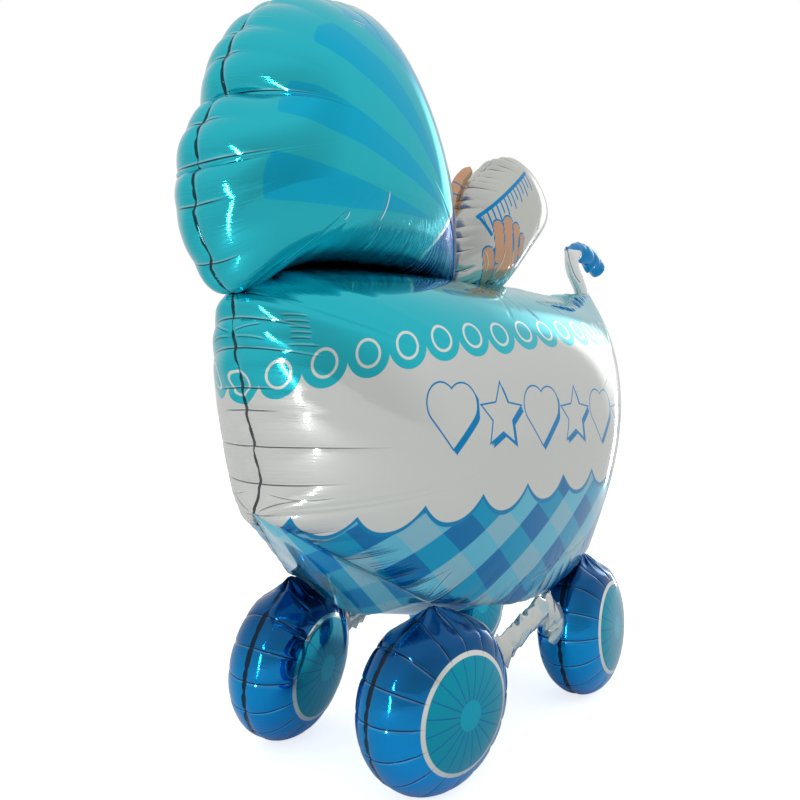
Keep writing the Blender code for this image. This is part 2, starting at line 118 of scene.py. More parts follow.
def membrane(outline, middle, rimShare, rings):     # pressure height over a panel, rings by columns
    around = len(outline)
    steps = 1.0 - np.cos(np.linspace(0.0, math.pi / 2.0, rings + 1))
    grid = np.array([middle + (outline - middle) * (1.0 - s) for s in steps[:-1]])
    points = np.vstack([grid.reshape(-1, 2), middle[None]])
    center = rings * around
    r, i = np.meshgrid(np.arange(rings), np.arange(around), indexing="ij")
    a, b = r * around + i, r * around + (i + 1) % around
    open_ = r < rings - 1
    tri = np.concatenate([
        np.stack([a[open_], b[open_], b[open_] + around], 1),
        np.stack([a[open_], b[open_] + around, a[open_] + around], 1),
        np.stack([a[~open_], b[~open_], np.full(around, center)], 1)])
    corner = points[tri]
    edges = corner[:, [2, 0, 1]] - corner[:, [1, 2, 0]]
    area = abs(edges[:, 0, 0] * edges[:, 1, 1] - edges[:, 0, 1] * edges[:, 1, 0]) / 2.0
    stiff = np.zeros((len(points), len(points)))
    load = np.zeros(len(points))
    np.add.at(stiff, (tri[:, :, None], tri[:, None, :]),
              np.einsum("tik,tjk->tij", edges, edges) / (4.0 * area)[:, None, None])
    np.add.at(load, tri, (area / 3.0)[:, None])
    free = np.arange(around, len(points))
    inner = stiff[np.ix_(free, free)]
    both = np.linalg.solve(inner, np.stack([-stiff[np.ix_(free, np.arange(around))] @ rimShare, load[free]], 1))
    scale = 1.0 / both[:, 1].max()
    for _ in range(30):
        scale /= (both[:, 0] + scale * both[:, 1]).max()
    height = both[:, 0] + scale * both[:, 1]
    return np.vstack([rimShare[None], height[:-1].reshape(rings - 1, around), np.full((1, around), height[-1])])


def blownPanel(outline, middle, rimWidth, halfWidth, rings, skip):
    # one side panel, its y positive: gives its points, their distance in from the rim, their place in the flat
    # print, and the length round the rim
    coarse = membrane(outline[::skip], middle, foilShare(rimWidth[::skip] / halfWidth), 14)
    height = cubicAt(coarse, np.linspace(0.0, 14.0, rings + 1))
    height = cubicAt(height.T, np.arange(len(outline)) / skip, wrap=True).T
    steps = 1.0 - np.cos(np.linspace(0.0, math.pi / 2.0, rings + 1))
    flatRings = np.array([middle + (outline - middle) * (1.0 - s) for s in steps])
    y = halfWidth * foilProfile(height)
    y[0] = rimWidth
    points = np.stack([flatRings[:, :, 0], y, flatRings[:, :, 1]], axis=2)
    ringStep = np.linalg.norm(np.diff(points, axis=0), axis=2)
    inward = np.vstack([np.zeros(len(outline)), np.cumsum(ringStep, axis=0)])
    way = (outline - middle) / np.linalg.norm(outline - middle, axis=1)[:, None]
    flat = middle + way[None] * (inward[-1] - inward)[:, :, None]
    step = np.linalg.norm(np.roll(outline, -1, axis=0) - outline, axis=1)
    along = np.concatenate([[0.0], np.cumsum(step)[:-1]])
    return points, inward, flat, along


def rimLength(outline, along):
    return along[-1] + np.linalg.norm(outline[-1] - outline[0])


def surfaceNormals(points):        # outward normals of a panel whose y is positive
    across = np.roll(points, -1, axis=1) - np.roll(points, 1, axis=1)
    down = np.gradient(points, axis=0)
    normal = np.cross(down, across)
    size = np.linalg.norm(normal, axis=2, keepdims=True)
    normal = normal / np.maximum(size, 1e-12)
    normal[-1] = (0.0, 1.0, 0.0)
    middleRow = len(points) // 2
    if (normal[middleRow, :, 1] < 0).mean() > 0.5:
        normal[:-1] *= -1.0
    return normal


def makeCreases(length, fixed, spacing, seed, reach, depth):
    # creases round a rim: the fixed ones (place, reach, depth), and others between them at about the spacing
    pick = np.random.default_rng(seed)
    marks = sorted((f[0] % length, f[1], f[2]) for f in fixed)
    found = []
    for this, following in zip(marks, marks[1:] + [(marks[0][0] + length, 0.0, 0.0)]):
        count = max(1, int(round((following[0] - this[0]) / spacing)))
        found.append(this)
        for k in range(1, count):
            shift = pick.uniform(-0.28, 0.28)
            place = this[0] + (following[0] - this[0]) * (k + shift) / count
            found.append((place % length, reach * pick.uniform(0.6, 1.5), depth * pick.uniform(0.5, 1.5)))
    return np.array(sorted(found))


def gathered(points, inward, along, length, creases, look, calm=None):
    # swells the foil between creases, folds it along them and sinks the seam into a valley
    s = (along[None] + look.get("lean", 0.0) * inward) % length
    places, reach, depth = creases.T
    k = np.searchsorted(places, s.ravel()).reshape(s.shape) % len(places)
    gap = (places[k] - places[k - 1]) % length
    q = ((s - places[k - 1]) % length) / gap
    index = np.where(q > 0.5, k, (k - 1) % len(places))
    away = np.where(q > 0.5, 1.0 - q, q) * gap
    puff = 4.0 * q * (1.0 - q)
    start = 1.0 - np.exp(-inward / 0.002)
    climb = inward / look["valleyAt"]
    hollow = climb * np.exp(1.0 - climb)
    fade = np.clip(1.0 - inward / reach[index], 0.0, 1.0)
    lift = look["valley"] * hollow * (0.5 + 0.5 * puff)
    lift += look["puff"] * puff * np.minimum(gap, 0.05) * np.exp(-(inward / look["spread"]) ** 2) * start
    lift -= look["groove"] * np.exp(-(away / look["grooveWidth"]) ** 1.2) * fade ** 0.7 * start
    lift -= depth[index] * np.exp(-(away / look["foldWidth"]) ** 2) * fade * start
    if calm is not None:
        lift = lift * calm[None]
    turn = 2.0 * math.pi * q
    fold = asVectors(np.sin(turn) * gap / (2.0 * math.pi), np.cos(turn), fade)
    return points + surfaceNormals(points) * lift[:, :, None], fold


def seamJog(rows, inward, along, length, creases, size, share=1.0):
    # shifts the seam sideways a little, and back at every crease
    places = creases[:, 0]
    k = np.searchsorted(places, along) % len(places)
    gap = (places[k] - places[k - 1]) % length
    q = ((along - places[k - 1]) % length) / gap
    step = np.minimum(q, 1.0 - q) * gap
    shift = size * (2.0 * q - 1.0) * (1.0 - np.exp(-(step / 0.003) ** 2)) * np.minimum(gap / 0.04, 1.5) * share
    rows[:, :, 1] += shift[None] * np.exp(-(inward / 0.016) ** 2)


def outlineDistance(u, v, corners):      # signed distance to a polygon, negative inside
    corners = np.array(corners, float)
    best = np.full(u.shape, 1e9)
    inside = np.zeros(u.shape, bool)
    for (x0, y0), (x1, y1) in zip(corners, np.roll(corners, -1, axis=0)):
        size = (x1 - x0) ** 2 + (y1 - y0) ** 2
        t = np.clip(((u - x0) * (x1 - x0) + (v - y0) * (y1 - y0)) / size, 0.0, 1.0)
        best = np.minimum(best, np.hypot(u - x0 - t * (x1 - x0), v - y0 - t * (y1 - y0)))
        crosses = (y0 > v) != (y1 > v)
        at = x0 + (v - y0) * (x1 - x0) / ((y1 - y0) if y1 != y0 else 1e-9)
        inside ^= crosses & (u < at)
    return np.where(inside, -best, best)


def roundedLine(u, v, start, end, radius):       # signed distance to a line with round ends
    (x0, y0), (x1, y1) = start, end
    size = (x1 - x0) ** 2 + (y1 - y0) ** 2
    t = np.clip(((u - x0) * (x1 - x0) + (v - y0) * (y1 - y0)) / size, 0.0, 1.0)
    return np.hypot(u - x0 - t * (x1 - x0), v - y0 - t * (y1 - y0)) - radius


def gridBody(name, rows, layers, faceSlots=None):
    # a body from rows of points: rows close on themselves, end rows shrink to a point or meet
    rowCount, colCount = rows.shape[:2]
    bm = bmesh.new()
    bmesh.ops.create_grid(bm, x_segments=colCount, y_segments=rowCount - 1, size=0.5)
    made = {key: bm.verts.layers.float_vector.new(key) for key in layers}
    span = max(abs(v.co.x) for v in bm.verts), max(abs(v.co.y) for v in bm.verts)
    where = []
    for v in bm.verts:
        i = int(round((v.co.x / span[0] + 1.0) / 2.0 * colCount)) % colCount
        j = int(round((v.co.y / span[1] + 1.0) / 2.0 * (rowCount - 1)))
        where.append((j, i))
    if faceSlots is not None:
        for face in bm.faces:
            row = int((face.calc_center_median().y / span[1] + 1.0) / 2.0 * (rowCount - 1))
            face.material_index = int(faceSlots[row])
    for v, (j, i) in zip(bm.verts, where):
        v.co = rows[j, i]
        for key, layer in made.items():
            v[layer] = layers[key][j, i]
    bmesh.ops.remove_doubles(bm, verts=bm.verts, dist=2e-6)
    bmesh.ops.dissolve_degenerate(bm, edges=bm.edges, dist=1e-7)
    bmesh.ops.recalc_face_normals(bm, faces=bm.faces)
    for face in bm.faces:
        face.smooth = True
    mesh = bpy.data.meshes.new(name)
    bm.to_mesh(mesh)
    bm.free()
    mesh.set_sharp_from_angle(angle=math.radians(50.0))
    piece = bpy.data.objects.new(name, mesh)
    bpy.context.scene.collection.objects.link(piece)
    return piece


def finish(piece, materials, nodes):
    for material in materials:
        piece.data.materials.append(material)
    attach(piece, "root")
    if nodes:
        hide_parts(*nodes)
    return piece


def asVectors(*parts):             # float arrays as one vector layer
    parts = list(parts) + [np.zeros_like(parts[0])] * (3 - len(parts))
    return np.stack(parts, axis=-1)


def seamPlaces(along, inward):
    return asVectors(np.tile(along, (len(inward), 1)), inward)


def mirrored(panel):               # the same panel on the left side, from its middle out
    return (panel * np.array([1.0, -1.0, 1.0]))[::-1]


def twoSides(values):              # a panel's values on the left and the right side
    return np.concatenate([values[::-1], values[1:]])


def smoothedRound(values, reach):  # running mean round a closed rim
    wrapped = np.concatenate([values[-reach:], values, values[:reach]])
    return np.convolve(wrapped, np.ones(2 * reach + 1) / (2.0 * reach + 1.0), "valid")


# Materials

class Nodes:                       # short ways to add and join the nodes of one tree
    def __init__(self, tree):
        self.tree = tree

    def link(self, value, socket):
        if isinstance(value, bpy.types.NodeSocket):
            self.tree.links.new(value, socket)
        elif socket.type == "RGBA":
            socket.default_value = (*value, 1.0)
        else:
            socket.default_value = value

    def add(self, kind, **settings):
        node = self.tree.nodes.new(kind)
        for key, value in settings.items():
            setattr(node, key, value)
        return node

    def group(self, tree, **values):
        node = self.add("ShaderNodeGroup", node_tree=tree)
        for key, value in values.items():
            self.link(value, node.inputs[key])
        return node.outputs

    def math(self, operation, a, b=0.0):
        node = self.add("ShaderNodeMath", operation=operation)
        self.link(a, node.inputs[0])
        self.link(b, node.inputs[1])
        return node.outputs[0]

    times = partialmethod(math, "MULTIPLY")
    plus = partialmethod(math, "ADD")
    minus = partialmethod(math, "SUBTRACT")
    over = partialmethod(math, "DIVIDE")
    larger = partialmethod(math, "MAXIMUM")
    smaller = partialmethod(math, "MINIMUM")
    isOver = partialmethod(math, "GREATER_THAN")
    isUnder = partialmethod(math, "LESS_THAN")
    fract = partialmethod(math, "FRACT")
    absolute = partialmethod(math, "ABSOLUTE")

    def apart(self, a, b):
        return self.absolute(self.minus(a, b))

    def split(self, vector):
        node = self.add("ShaderNodeSeparateXYZ")
        self.link(vector, node.inputs[0])
        return node.outputs

    def attribute(self, name):
        return self.split(self.add("ShaderNodeAttribute", attribute_name=name).outputs["Vector"])

    def objectPlace(self):
        return self.add("ShaderNodeTexCoord").outputs["Object"]

    def ramp(self, value, low, high, a=0.0, b=1.0, kind="SMOOTHSTEP"):
        node = self.add("ShaderNodeMapRange", clamp=True, interpolation_type=kind)
        for key, item in (("Value", value), ("From Min", low), ("From Max", high), ("To Min", a), ("To Max", b)):
            self.link(item, node.inputs[key])
        return node.outputs["Result"]

    def below(self, value, edge, soft=0.0004):       # 1 where value is under the edge
        return self.ramp(value, edge + soft, edge - soft, kind="LINEAR")

    def mix(self, factor, a, b):
        node = self.add("ShaderNodeMix", data_type="RGBA")
        for value, socket in ((factor, 0), (a, 6), (b, 7)):
            self.link(value, node.inputs[socket])
        return node.outputs[2]

    def combine(self, x, y):
        node = self.add("ShaderNodeCombineXYZ")
        self.link(x, node.inputs[0])
        self.link(y, node.inputs[1])
        return node.outputs[0]

    def noise(self, vector, scale, detail=2.0):
        node = self.add("ShaderNodeTexNoise")
        for key, value in (("Vector", vector), ("Scale", scale), ("Detail", detail), ("Roughness", 0.5)):
            self.link(value, node.inputs[key])
        return node.outputs["Fac"]

    def radius(self, x, y):
        return self.math("SQRT", self.plus(self.times(x, x), self.times(y, y)))

    def centered(self, value, pitch):                # distance to the nearest whole step, with its sign
        return self.times(self.minus(self.fract(value), 0.5), pitch)


class Group(Nodes):                # a shader node group with named inputs and outputs
    def __init__(self, name, inputs, outputs):
        super().__init__(bpy.data.node_groups.new(name, "ShaderNodeTree"))
        for way, keys in (("INPUT", inputs), ("OUTPUT", outputs)):
            for key in keys:
                self.tree.interface.new_socket(key, in_out=way, socket_type="NodeSocketFloat")
        self.start = self.tree.nodes.new("NodeGroupInput").outputs
        self.end = self.tree.nodes.new("NodeGroupOutput").inputs


def newMaterial(name):
    material = bpy.data.materials.new(name)
    material.use_nodes = True
    return material, Nodes(material.node_tree), material.node_tree.nodes["Principled BSDF"]


foil = {
    "pleatsAlong": 400.0, "pleatsInward": 12.0, "pleatFade": 1.6,      # how fine the pleats are, each way
    "foldLine": 0.0007, "foldGlow": 0.0016, "longGlow": 0.0021, "ridge": 0.007,
    # colours of the painted highlight beside folds and of the painted shade in folds, along the seam's valley and
    # in long folds
    "foldLight": (0.95, 0.98, 1.0), "foldDark": (0.005, 0.012, 0.02), "foldDarkness": 0.92,
    "longDark": (0.01, 0.05, 0.08), "longHeight": -0.9,
    "bump": 0.26, "bumpDepth": 0.004, "ripple": 22.0, "rippleShare": 0.10, "hazeScale": 6.0,
    "coat": 0.3, "coatRoughness": 0.05,
    "paleShare": 0.42, "paleHaze": 0.012,              # bare white foil is less of a mirror
}


def foilWrinkles():
    # fine pleats that run in from a seam: seam coordinates in, bump height out
    g = Group("foilWrinkles", ("Along", "Inward", "Reach"), ("Height",))
    along, inward = g.times(g.start["Along"], foil["pleatsAlong"]), g.times(g.start["Inward"], foil["pleatsInward"])
    place = g.combine(along, inward)
    fade = g.minus(1.0, g.over(g.start["Inward"], g.start["Reach"]))
    fade = g.math("POWER", g.larger(fade, 0.0), foil["pleatFade"])
    g.link(g.times(g.noise(place, 1.0, 3.0), fade), g.end["Height"])
    return g.tree


def foilFolds():
    # thin sharp lines where the foil folds, and the welded seam: masks for the painted shade in folds and in the
    # seam's valley (dark), and for the painted highlight beside each fold (light)
    g = Group("foilFolds", ("Offset", "Side", "Fade", "Along", "Inward", "Seam"), ("Dark", "Light"))
    near = g.isOver(g.start["Side"], 0.0)
    shown = g.times(near, g.smaller(g.times(g.start["Fade"], 2.2), 1.0))
    offset = g.start["Offset"]
    dark = g.times(g.below(g.absolute(offset), foil["foldLine"]), shown)
    beside = g.apart(offset, foil["foldGlow"])
    light = g.times(g.below(beside, 0.0006, 0.0005), shown)
    # the seam line is painted shade in the seam's valley, broken into dashes
    broken = g.noise(g.combine(g.times(g.start["Along"], 42.0), 0.0), 1.0, 1.0)
    width = g.times(g.ramp(broken, 0.30, 0.55, 0.15, 1.0), g.start["Seam"])
    seam = g.below(g.minus(g.start["Inward"], width), 0.0, 0.0003)
    g.link(g.larger(dark, seam), g.end["Dark"])
    g.link(light, g.end["Light"])
    return g.tree


def longFold():
    # one long fold in the flat print: its start and direction in, masks for its painted shade line and painted
    # highlight line out
    g = Group("longFold", ("U", "V", "StartU", "StartV", "WayU", "WayV", "Length", "Width", "Bow"),
              ("Dark", "Light", "Height"))
    u = g.minus(g.start["U"], g.start["StartU"])
    v = g.minus(g.start["V"], g.start["StartV"])
    t = g.plus(g.times(u, g.start["WayU"]), g.times(v, g.start["WayV"]))
    t = g.over(t, g.start["Length"])
    taper = g.times(g.times(t, g.minus(1.0, t)), 4.0)
    side = g.minus(g.times(v, g.start["WayU"]), g.times(u, g.start["WayV"]))
    side = g.minus(side, g.times(g.start["Bow"], taper))
    width = g.times(g.start["Width"], g.smaller(g.times(taper, 2.0), 1.0))
    shown = g.isOver(taper, 0.0)
    dark = g.below(g.minus(g.absolute(side), width), 0.0, 0.0003)
    beside = g.apart(side, foil["longGlow"])
    light = g.below(g.minus(beside, g.times(width, 1.3)), 0.0)
    ridge = g.ramp(g.absolute(side), foil["ridge"], 0.0)
    g.link(g.times(dark, shown), g.end["Dark"])
    g.link(g.times(light, shown), g.end["Light"])
    g.link(g.times(ridge, g.larger(taper, 0.0)), g.end["Height"])
    return g.tree


def motifShape():
    # distance to the edge of a heart, or of a star where Star is 1
    g = Group("motifShape", ("X", "Y", "Star"), ("Distance",))
    size, tip, notch = 0.072, 0.042, 0.0205       # the heart's size, the star's outer and inner reach
    x = g.absolute(g.over(g.start["X"], size * 0.92))
    y = g.over(g.plus(g.start["Y"], size * 0.56), size)
    top = g.minus(g.radius(g.minus(x, 0.25), g.minus(y, 0.75)), 0.35355)
    half = g.times(g.larger(g.plus(x, y), 0.0), 0.5)
    low = g.smaller(g.radius(x, g.minus(y, 1.0)), g.radius(g.minus(x, half), g.minus(y, half)))
    low = g.times(low, g.math("SIGN", g.minus(x, y)))
    upper = g.isOver(g.plus(x, y), 1.0)
    heart = g.times(g.plus(g.times(upper, top), g.times(g.minus(1.0, upper), low)), size)
    fifth = math.radians(72.0)
    turn = g.over(g.math("ARCTAN2", g.start["X"], g.start["Y"]), fifth)
    turn = g.absolute(g.centered(g.plus(turn, 0.5), fifth))
    reach = g.radius(g.start["X"], g.start["Y"])
    side = g.times(reach, g.math("SINE", turn))
    out = g.minus(g.times(reach, g.math("COSINE", turn)), tip)
    inner = notch * math.sin(fifth / 2.0), notch * math.cos(fifth / 2.0) - tip
    long = math.hypot(*inner)
    star = g.plus(g.times(side, -inner[1] / long), g.times(out, inner[0] / long))
    isHeart = g.minus(1.0, g.start["Star"])
    g.link(g.plus(g.times(g.start["Star"], star), g.times(isHeart, heart)), g.end["Distance"])
    return g.tree


wrinkleGroup, foldGroup, motifGroup, longGroup = foilWrinkles(), foilFolds(), motifShape(), longFold()


def foilMaterial(name, paint, roughness=0.075, metallic=1.0, reach=0.11, seam=0.0024, glint=0.30):
    # paint(nodes) gives the printed colour with any painted shade and highlight, where bare white foil shows, and
    # any relief of its own; seam is the width of the dark line along the weld, painted shade in the seam's valley,
    # or None without a seam
    material, nodes, shader = newMaterial(name)
    color, pale, *relief = paint(nodes)
    coords = nodes.objectPlace()
    height = nodes.times(nodes.noise(coords, foil["ripple"]), foil["rippleShare"])
    for extra in relief:
        height = nodes.plus(height, extra)
    if seam is not None:
        along, inward, _ = nodes.attribute("seam")
        offset, side, fade = nodes.attribute("fold")
        pleats = nodes.group(wrinkleGroup, Along=along, Inward=inward, Reach=reach)
        height = nodes.plus(height, pleats["Height"])
        folds = nodes.group(foldGroup, Offset=offset, Side=side, Fade=fade, Along=along, Inward=inward,
                            Seam=seam)
        # painted highlight beside each fold (glint sets how strong), then painted shade in each fold and along the
        # seam's valley
        color = nodes.mix(nodes.times(folds["Light"], glint), color, foil["foldLight"])
        color = nodes.mix(nodes.times(folds["Dark"], foil["foldDarkness"]), color, foil["foldDark"])
    nodes.link(color, shader.inputs["Base Color"])
    nodes.link(nodes.minus(metallic, nodes.times(pale, foil["paleShare"])), shader.inputs["Metallic"])
    haze = nodes.times(nodes.noise(coords, foil["hazeScale"], 1.0), roughness * 0.8)
    haze = nodes.plus(haze, nodes.times(pale, foil["paleHaze"]))
    nodes.link(nodes.plus(haze, roughness * 0.6), shader.inputs["Roughness"])
    shader.inputs["Coat Weight"].default_value = foil["coat"]
    shader.inputs["Coat Roughness"].default_value = foil["coatRoughness"]
    bump = nodes.add("ShaderNodeBump")
    bump.inputs["Strength"].default_value = foil["bump"]
    bump.inputs["Distance"].default_value = foil["bumpDepth"]
    nodes.link(height, bump.inputs["Height"])
    nodes.link(bump.outputs[0], shader.inputs["Normal"])
    return material


def foldedPaint(n, color, lines, dark, light):
    # paints long folds (start, end, width, bow, all in millimetres of the flat print) on a colour as painted shade
    # and painted highlight lines, with a little relief
    u, v, _ = n.attribute("flat")
    shade, shine, relief = 0.0, 0.0, 0.0
    for (x0, y0), (x1, y1), width, bow in lines:
        length = math.hypot(x1 - x0, y1 - y0)
        fold = n.group(longGroup, U=u, V=v, StartU=x0 / 1000.0, StartV=y0 / 1000.0, WayU=(x1 - x0) / length,
                       WayV=(y1 - y0) / length, Length=length / 1000.0, Width=width / 1000.0, Bow=bow / 1000.0)
        shade = n.larger(fold["Dark"], shade)
        shine = n.larger(fold["Light"], shine)
        relief = n.plus(fold["Height"], relief)
    color = n.mix(n.times(shine, light), color, foil["foldLight"])
    return n.mix(n.times(shade, dark), color, foil["longDark"]), n.times(relief, foil["longHeight"])


def srgb(r, g, b):
    return tuple(((c / 255.0) / 12.92 if c <= 10.3 else ((c / 255.0 + 0.055) / 1.055) ** 2.4) for c in (r, g, b))


teal = srgb(40, 198, 214)
stripe = srgb(0, 185, 222)
paper = srgb(219, 222, 218)
royal = srgb(0, 160, 236)
ink = srgb(0, 140, 205)
skin = srgb(212, 165, 130)
print("tools ready")


# Tub

tub = {
    "length": 0.938, "height": 0.475, "halfWidth": 0.191, "sag": 0.034, "bow": 0.1, "dip": 0.033, "lean": 0.009,
    "hang": 0.010, "middle": (0.03, 0.42),
    "creases": {"spacing": 0.036, "seed": 4, "reach": 0.045, "depth": 0.0006},
    "top": [(-0.462, 0.762), (-0.426, 0.806), (-0.392, 0.836), (-0.297, 0.865), (-0.138, 0.890), (0.0, 0.901),
            (0.139, 0.914), (0.298, 0.922), (0.394, 0.954), (0.469, 0.983), (0.538, 1.0)],
    "back": [(0.538, 1.0), (0.511, 0.9), (0.469, 0.72), (0.44, 0.52), (0.424, 0.38), (0.418, 0.27)],
    "front": [(-0.428, 0.244), (-0.416, 0.3), (-0.426, 0.4), (-0.446, 0.54), (-0.461, 0.66), (-0.462, 0.762)],
    "rings": 56, "gussetRows": 22,
    "fine": 12, "counts": (20, 9, 12, 6),       # columns of top, side, underside and rise, each times fine
    "look": {"valley": 0.0055, "valleyAt": 0.018, "puff": 0.030, "spread": 0.042, "groove": 0.0010,
             "grooveWidth": 0.0018, "foldWidth": 0.010},
    "frontCreases": [(0.562, 0.09, 0.003), (0.530, 0.11, 0.004), (0.487, 0.05, 0.0008), (0.421, 0.17, 0.0005),
                     (0.377, 0.11, 0.0010)],      # height, reach, depth
    "jog": 0.0028,
}


topCount, sideCount, underCount, riseCount = [tub["fine"] * count for count in tub["counts"]]


def tubPoint(share):
    return (baseX + share[0] * tub["length"], cornerHeight + share[1] * tub["height"])


def tubOutline():
    cornerX, cornerY = wheelBase / 2.0 + tub["lean"], track / 2.0
    top = smoothCurve([tubPoint(s) for s in tub["top"]], topCount)
    back = smoothCurve([tubPoint(s) for s in tub["back"]], sideCount)
    front = smoothCurve([tubPoint(s) for s in tub["front"]], sideCount)
    turns = np.linspace(1.0, -1.0, underCount + 1)
    dip = tub["dip"] * abs(np.cos(turns * math.pi / 2.0)) ** 1.3
    under = np.stack([baseX + turns * cornerX, cornerHeight - dip], axis=1)
    riseBack = smoothCurve([back[-1], under[0]], riseCount)
    riseFront = smoothCurve([under[-1], front[0]], riseCount)
    outline = np.vstack([top[:-1], back[:-1], riseBack[:-1], under[:-1], riseFront[:-1], front[:-1]])
    opening = np.linspace(0.0, cornerY, riseCount + 1)
    bow = tub["bow"] * cornerY * np.cos(turns * math.pi / 2.0)
    width = np.concatenate([np.zeros(topCount + sideCount), opening[:-1], (cornerY + bow)[:-1], opening[:0:-1],
                            np.zeros(sideCount)])
    return outline, width


outline, rimWidth = tubOutline()
points, inward, flat, along = blownPanel(outline, np.array(tubPoint(tub["middle"])), rimWidth, tub["halfWidth"],
                                         tub["rings"], 6)
tubLength = rimLength(outline, along)
frontIndex = np.arange(len(outline) - sideCount, len(outline))
fixed = []
for height, reach, depth in tub["frontCreases"]:
    nearest = frontIndex[np.argmin(abs(outline[frontIndex, 1] - height))]
    fixed.append((along[nearest], reach, depth))
creases = makeCreases(tubLength, fixed, **tub["creases"])
bottomCalm = 1.0 - 0.6 * np.clip(rimWidth / 0.04, 0.0, 1.0)
underHood = np.clip((0.25 - abs(outline[:, 0] + 0.24)) / 0.04, 0.0, 1.0) * (np.arange(len(outline)) < topCount)
atHandle = np.clip((outline[:, 0] - 0.33) / 0.06, 0.0, 1.0) * (outline[:, 1] > 0.62)
bottomCalm = bottomCalm * (1.0 - 0.85 * underHood) * (1.0 - 0.85 * atHandle)
swollen, fold = gathered(points, inward, along, tubLength, creases, tub["look"], bottomCalm)
hang = np.clip(rimWidth / (track / 2.0) - 0.75, 0.0, 0.3) / 0.3 * (outline[:, 1] < cornerHeight)
hang = smoothedRound(hang, 20)
climb = inward / 0.030
swollen[:, :, 2] -= tub["hang"] * hang[None] * climb * np.exp(1.0 - climb)
shares = np.linspace(-1.0, 1.0, tub["gussetRows"] + 2)[1:-1]
gusset = np.stack([np.stack([outline[:, 0], share * rimWidth,
                             outline[:, 1] - tub["sag"] * rimWidth / (track / 2) * (1 - share ** 2) ** 2], axis=1)
                   for share in shares])
rows = np.concatenate([mirrored(swollen), gusset, swollen])


def roundTub(values):              # a panel's values on the left side, the gusset and the right side
    middle = np.tile(values[:1], (tub["gussetRows"],) + (1,) * (values.ndim - 1))
    return np.concatenate([values[::-1], middle, values])


tubPrint = {
    # in millimetres of the flat print: rows of rings and lobes, scallops of the hem, checks below it
    "warp": [(-541, -114), (-491, -57), (-441, 0), (-391, 57), (-338.5, 114), (-284, 171), (-225.7, 228),
             (-166.7, 285), (-101.7, 342), (-35.7, 399), (30, 456), (96, 513), (160, 570), (220, 627),
             (280, 684), (338, 741), (392, 798), (444, 855), (500, 912)],
    "ringRow": [(-114, 504), (-90, 505), (-57, 509), (0, 518.8), (57, 529.7), (114, 540.5), (171, 551.9),
                (228, 559.8), (285, 566), (342, 576.8), (399, 585), (456, 592), (627, 606), (912, 640)],
    "hemLine": [(-469.1, 333.7), (-393.9, 339.2), (-318.4, 353.6), (-232.3, 364.1), (-130.6, 372.5),
                (-25.3, 379.1), (72.6, 380), (400, 400)],
    "hemStart": -469.1, "ringPitch": 57.0, "hemPitch": 85.5, "hemDepth": 27.0,
    "checkMiddle": (205.0, 318.0), "checkWidth": 65.0, "checkHeight": 52.0,
    "motifStart": 128.0, "motifPitch": 86.0, "motifRow": 459.0, "motifCount": 7.0, "motifLine": 1.1,
    "shadows": [(2.5, 3.0), (5.5, 6.0)], "lobe": 29.5, "ring": 15.5, "ringLine": 1.7,
    # long folds, drawn as painted shade and painted highlight lines with a little relief
    "folds": [((-81, 695), (-118, 593), 0.5, 6.0), ((-59, 682), (-68, 616), 0.5, -5.0),
              ((-53, 648), (-31, 601), 0.6, 5.0), ((68, 663), (99, 628), 0.5, 4.0),
              ((95, 284), (-100, 238), 0.5, 5.0), ((-60, 274), (-132, 224), 0.5, 4.0),
              ((-117, 241), (-127, 201), 0.5, 4.0), ((-279, 227), (-252, 269), 0.5, 3.0),
              ((-271, 226), (-204, 229), 0.5, -3.0), ((-509, 332), (-460, 355), 0.5, 3.0),
              ((-502, 356), (-423, 362), 0.5, -4.0), ((-483, 575), (-454, 572), 0.6, 0.5),
              ((-481, 568), (-452, 565), 0.6, 0.5), ((-476, 561), (-452, 558), 0.6, 0.5),
              ((-476, 554), (-451, 552), 0.6, 0.5), ((-476, 548), (-453, 546), 0.6, 0.5),
              ((-480, 540), (-445, 537), 0.6, 0.5), ((-540, 566), (-505, 568), 0.6, 1.0),
              ((-540, 560), (-503, 549), 0.6, 1.5)],
}
u, v = flat[:, :, 0] * 1000.0, flat[:, :, 1] * 1000.0
spread = np.interp(u, *np.array(tubPrint["warp"]).T)
ringRow = np.interp(spread, *np.array(tubPrint["ringRow"]).T)
hemLine = np.interp(u, *np.array(tubPrint["hemLine"]).T)
hemFirst = np.interp(tubPrint["hemStart"], *np.array(tubPrint["warp"]).T)
across = (spread - tubPrint["checkMiddle"][0]) / tubPrint["checkWidth"]
upward = (v - tubPrint["checkMiddle"][1]) / tubPrint["checkHeight"]
motif = (spread - tubPrint["motifStart"]) / tubPrint["motifPitch"]
tubLayers = {
    "rings": asVectors(spread / tubPrint["ringPitch"] + 0.5, (v - ringRow) / 1000.0,
                       (spread - hemFirst) / tubPrint["hemPitch"]),
    "hem": asVectors((v - hemLine) / 1000.0, (across + upward) / 2.0 + 0.5, (across - upward) / 2.0 + 0.5),
    "motif": asVectors(motif, (v - tubPrint["motifRow"]) / 1000.0),
    "flat": asVectors(u / 1000.0, v / 1000.0), "seam": seamPlaces(along, inward), "fold": fold,
}
seamJog(rows, roundTub(inward), along, tubLength, creases, tub["jog"], rimWidth < 1e-4)
faceSlots = [0] * tub["rings"] + [1] * (tub["gussetRows"] + 1) + [0] * tub["rings"]
tubShell = gridBody("tub_shell", rows, {key: roundTub(layer) for key, layer in tubLayers.items()}, faceSlots)


def checked(n, p, q, dark, middle, light, pale):     # woven check of two diagonal bands
    onP = n.below(n.absolute(n.centered(p, 1.0)), 0.25, 0.006)
    onQ = n.below(n.absolute(n.centered(q, 1.0)), 0.25, 0.006)
    return n.mix(onQ, n.mix(onP, pale, light), n.mix(onP, middle, dark))


def motifDistance(n, x, y, star):
    return n.group(motifGroup, X=x, Y=y, Star=star)["Distance"]


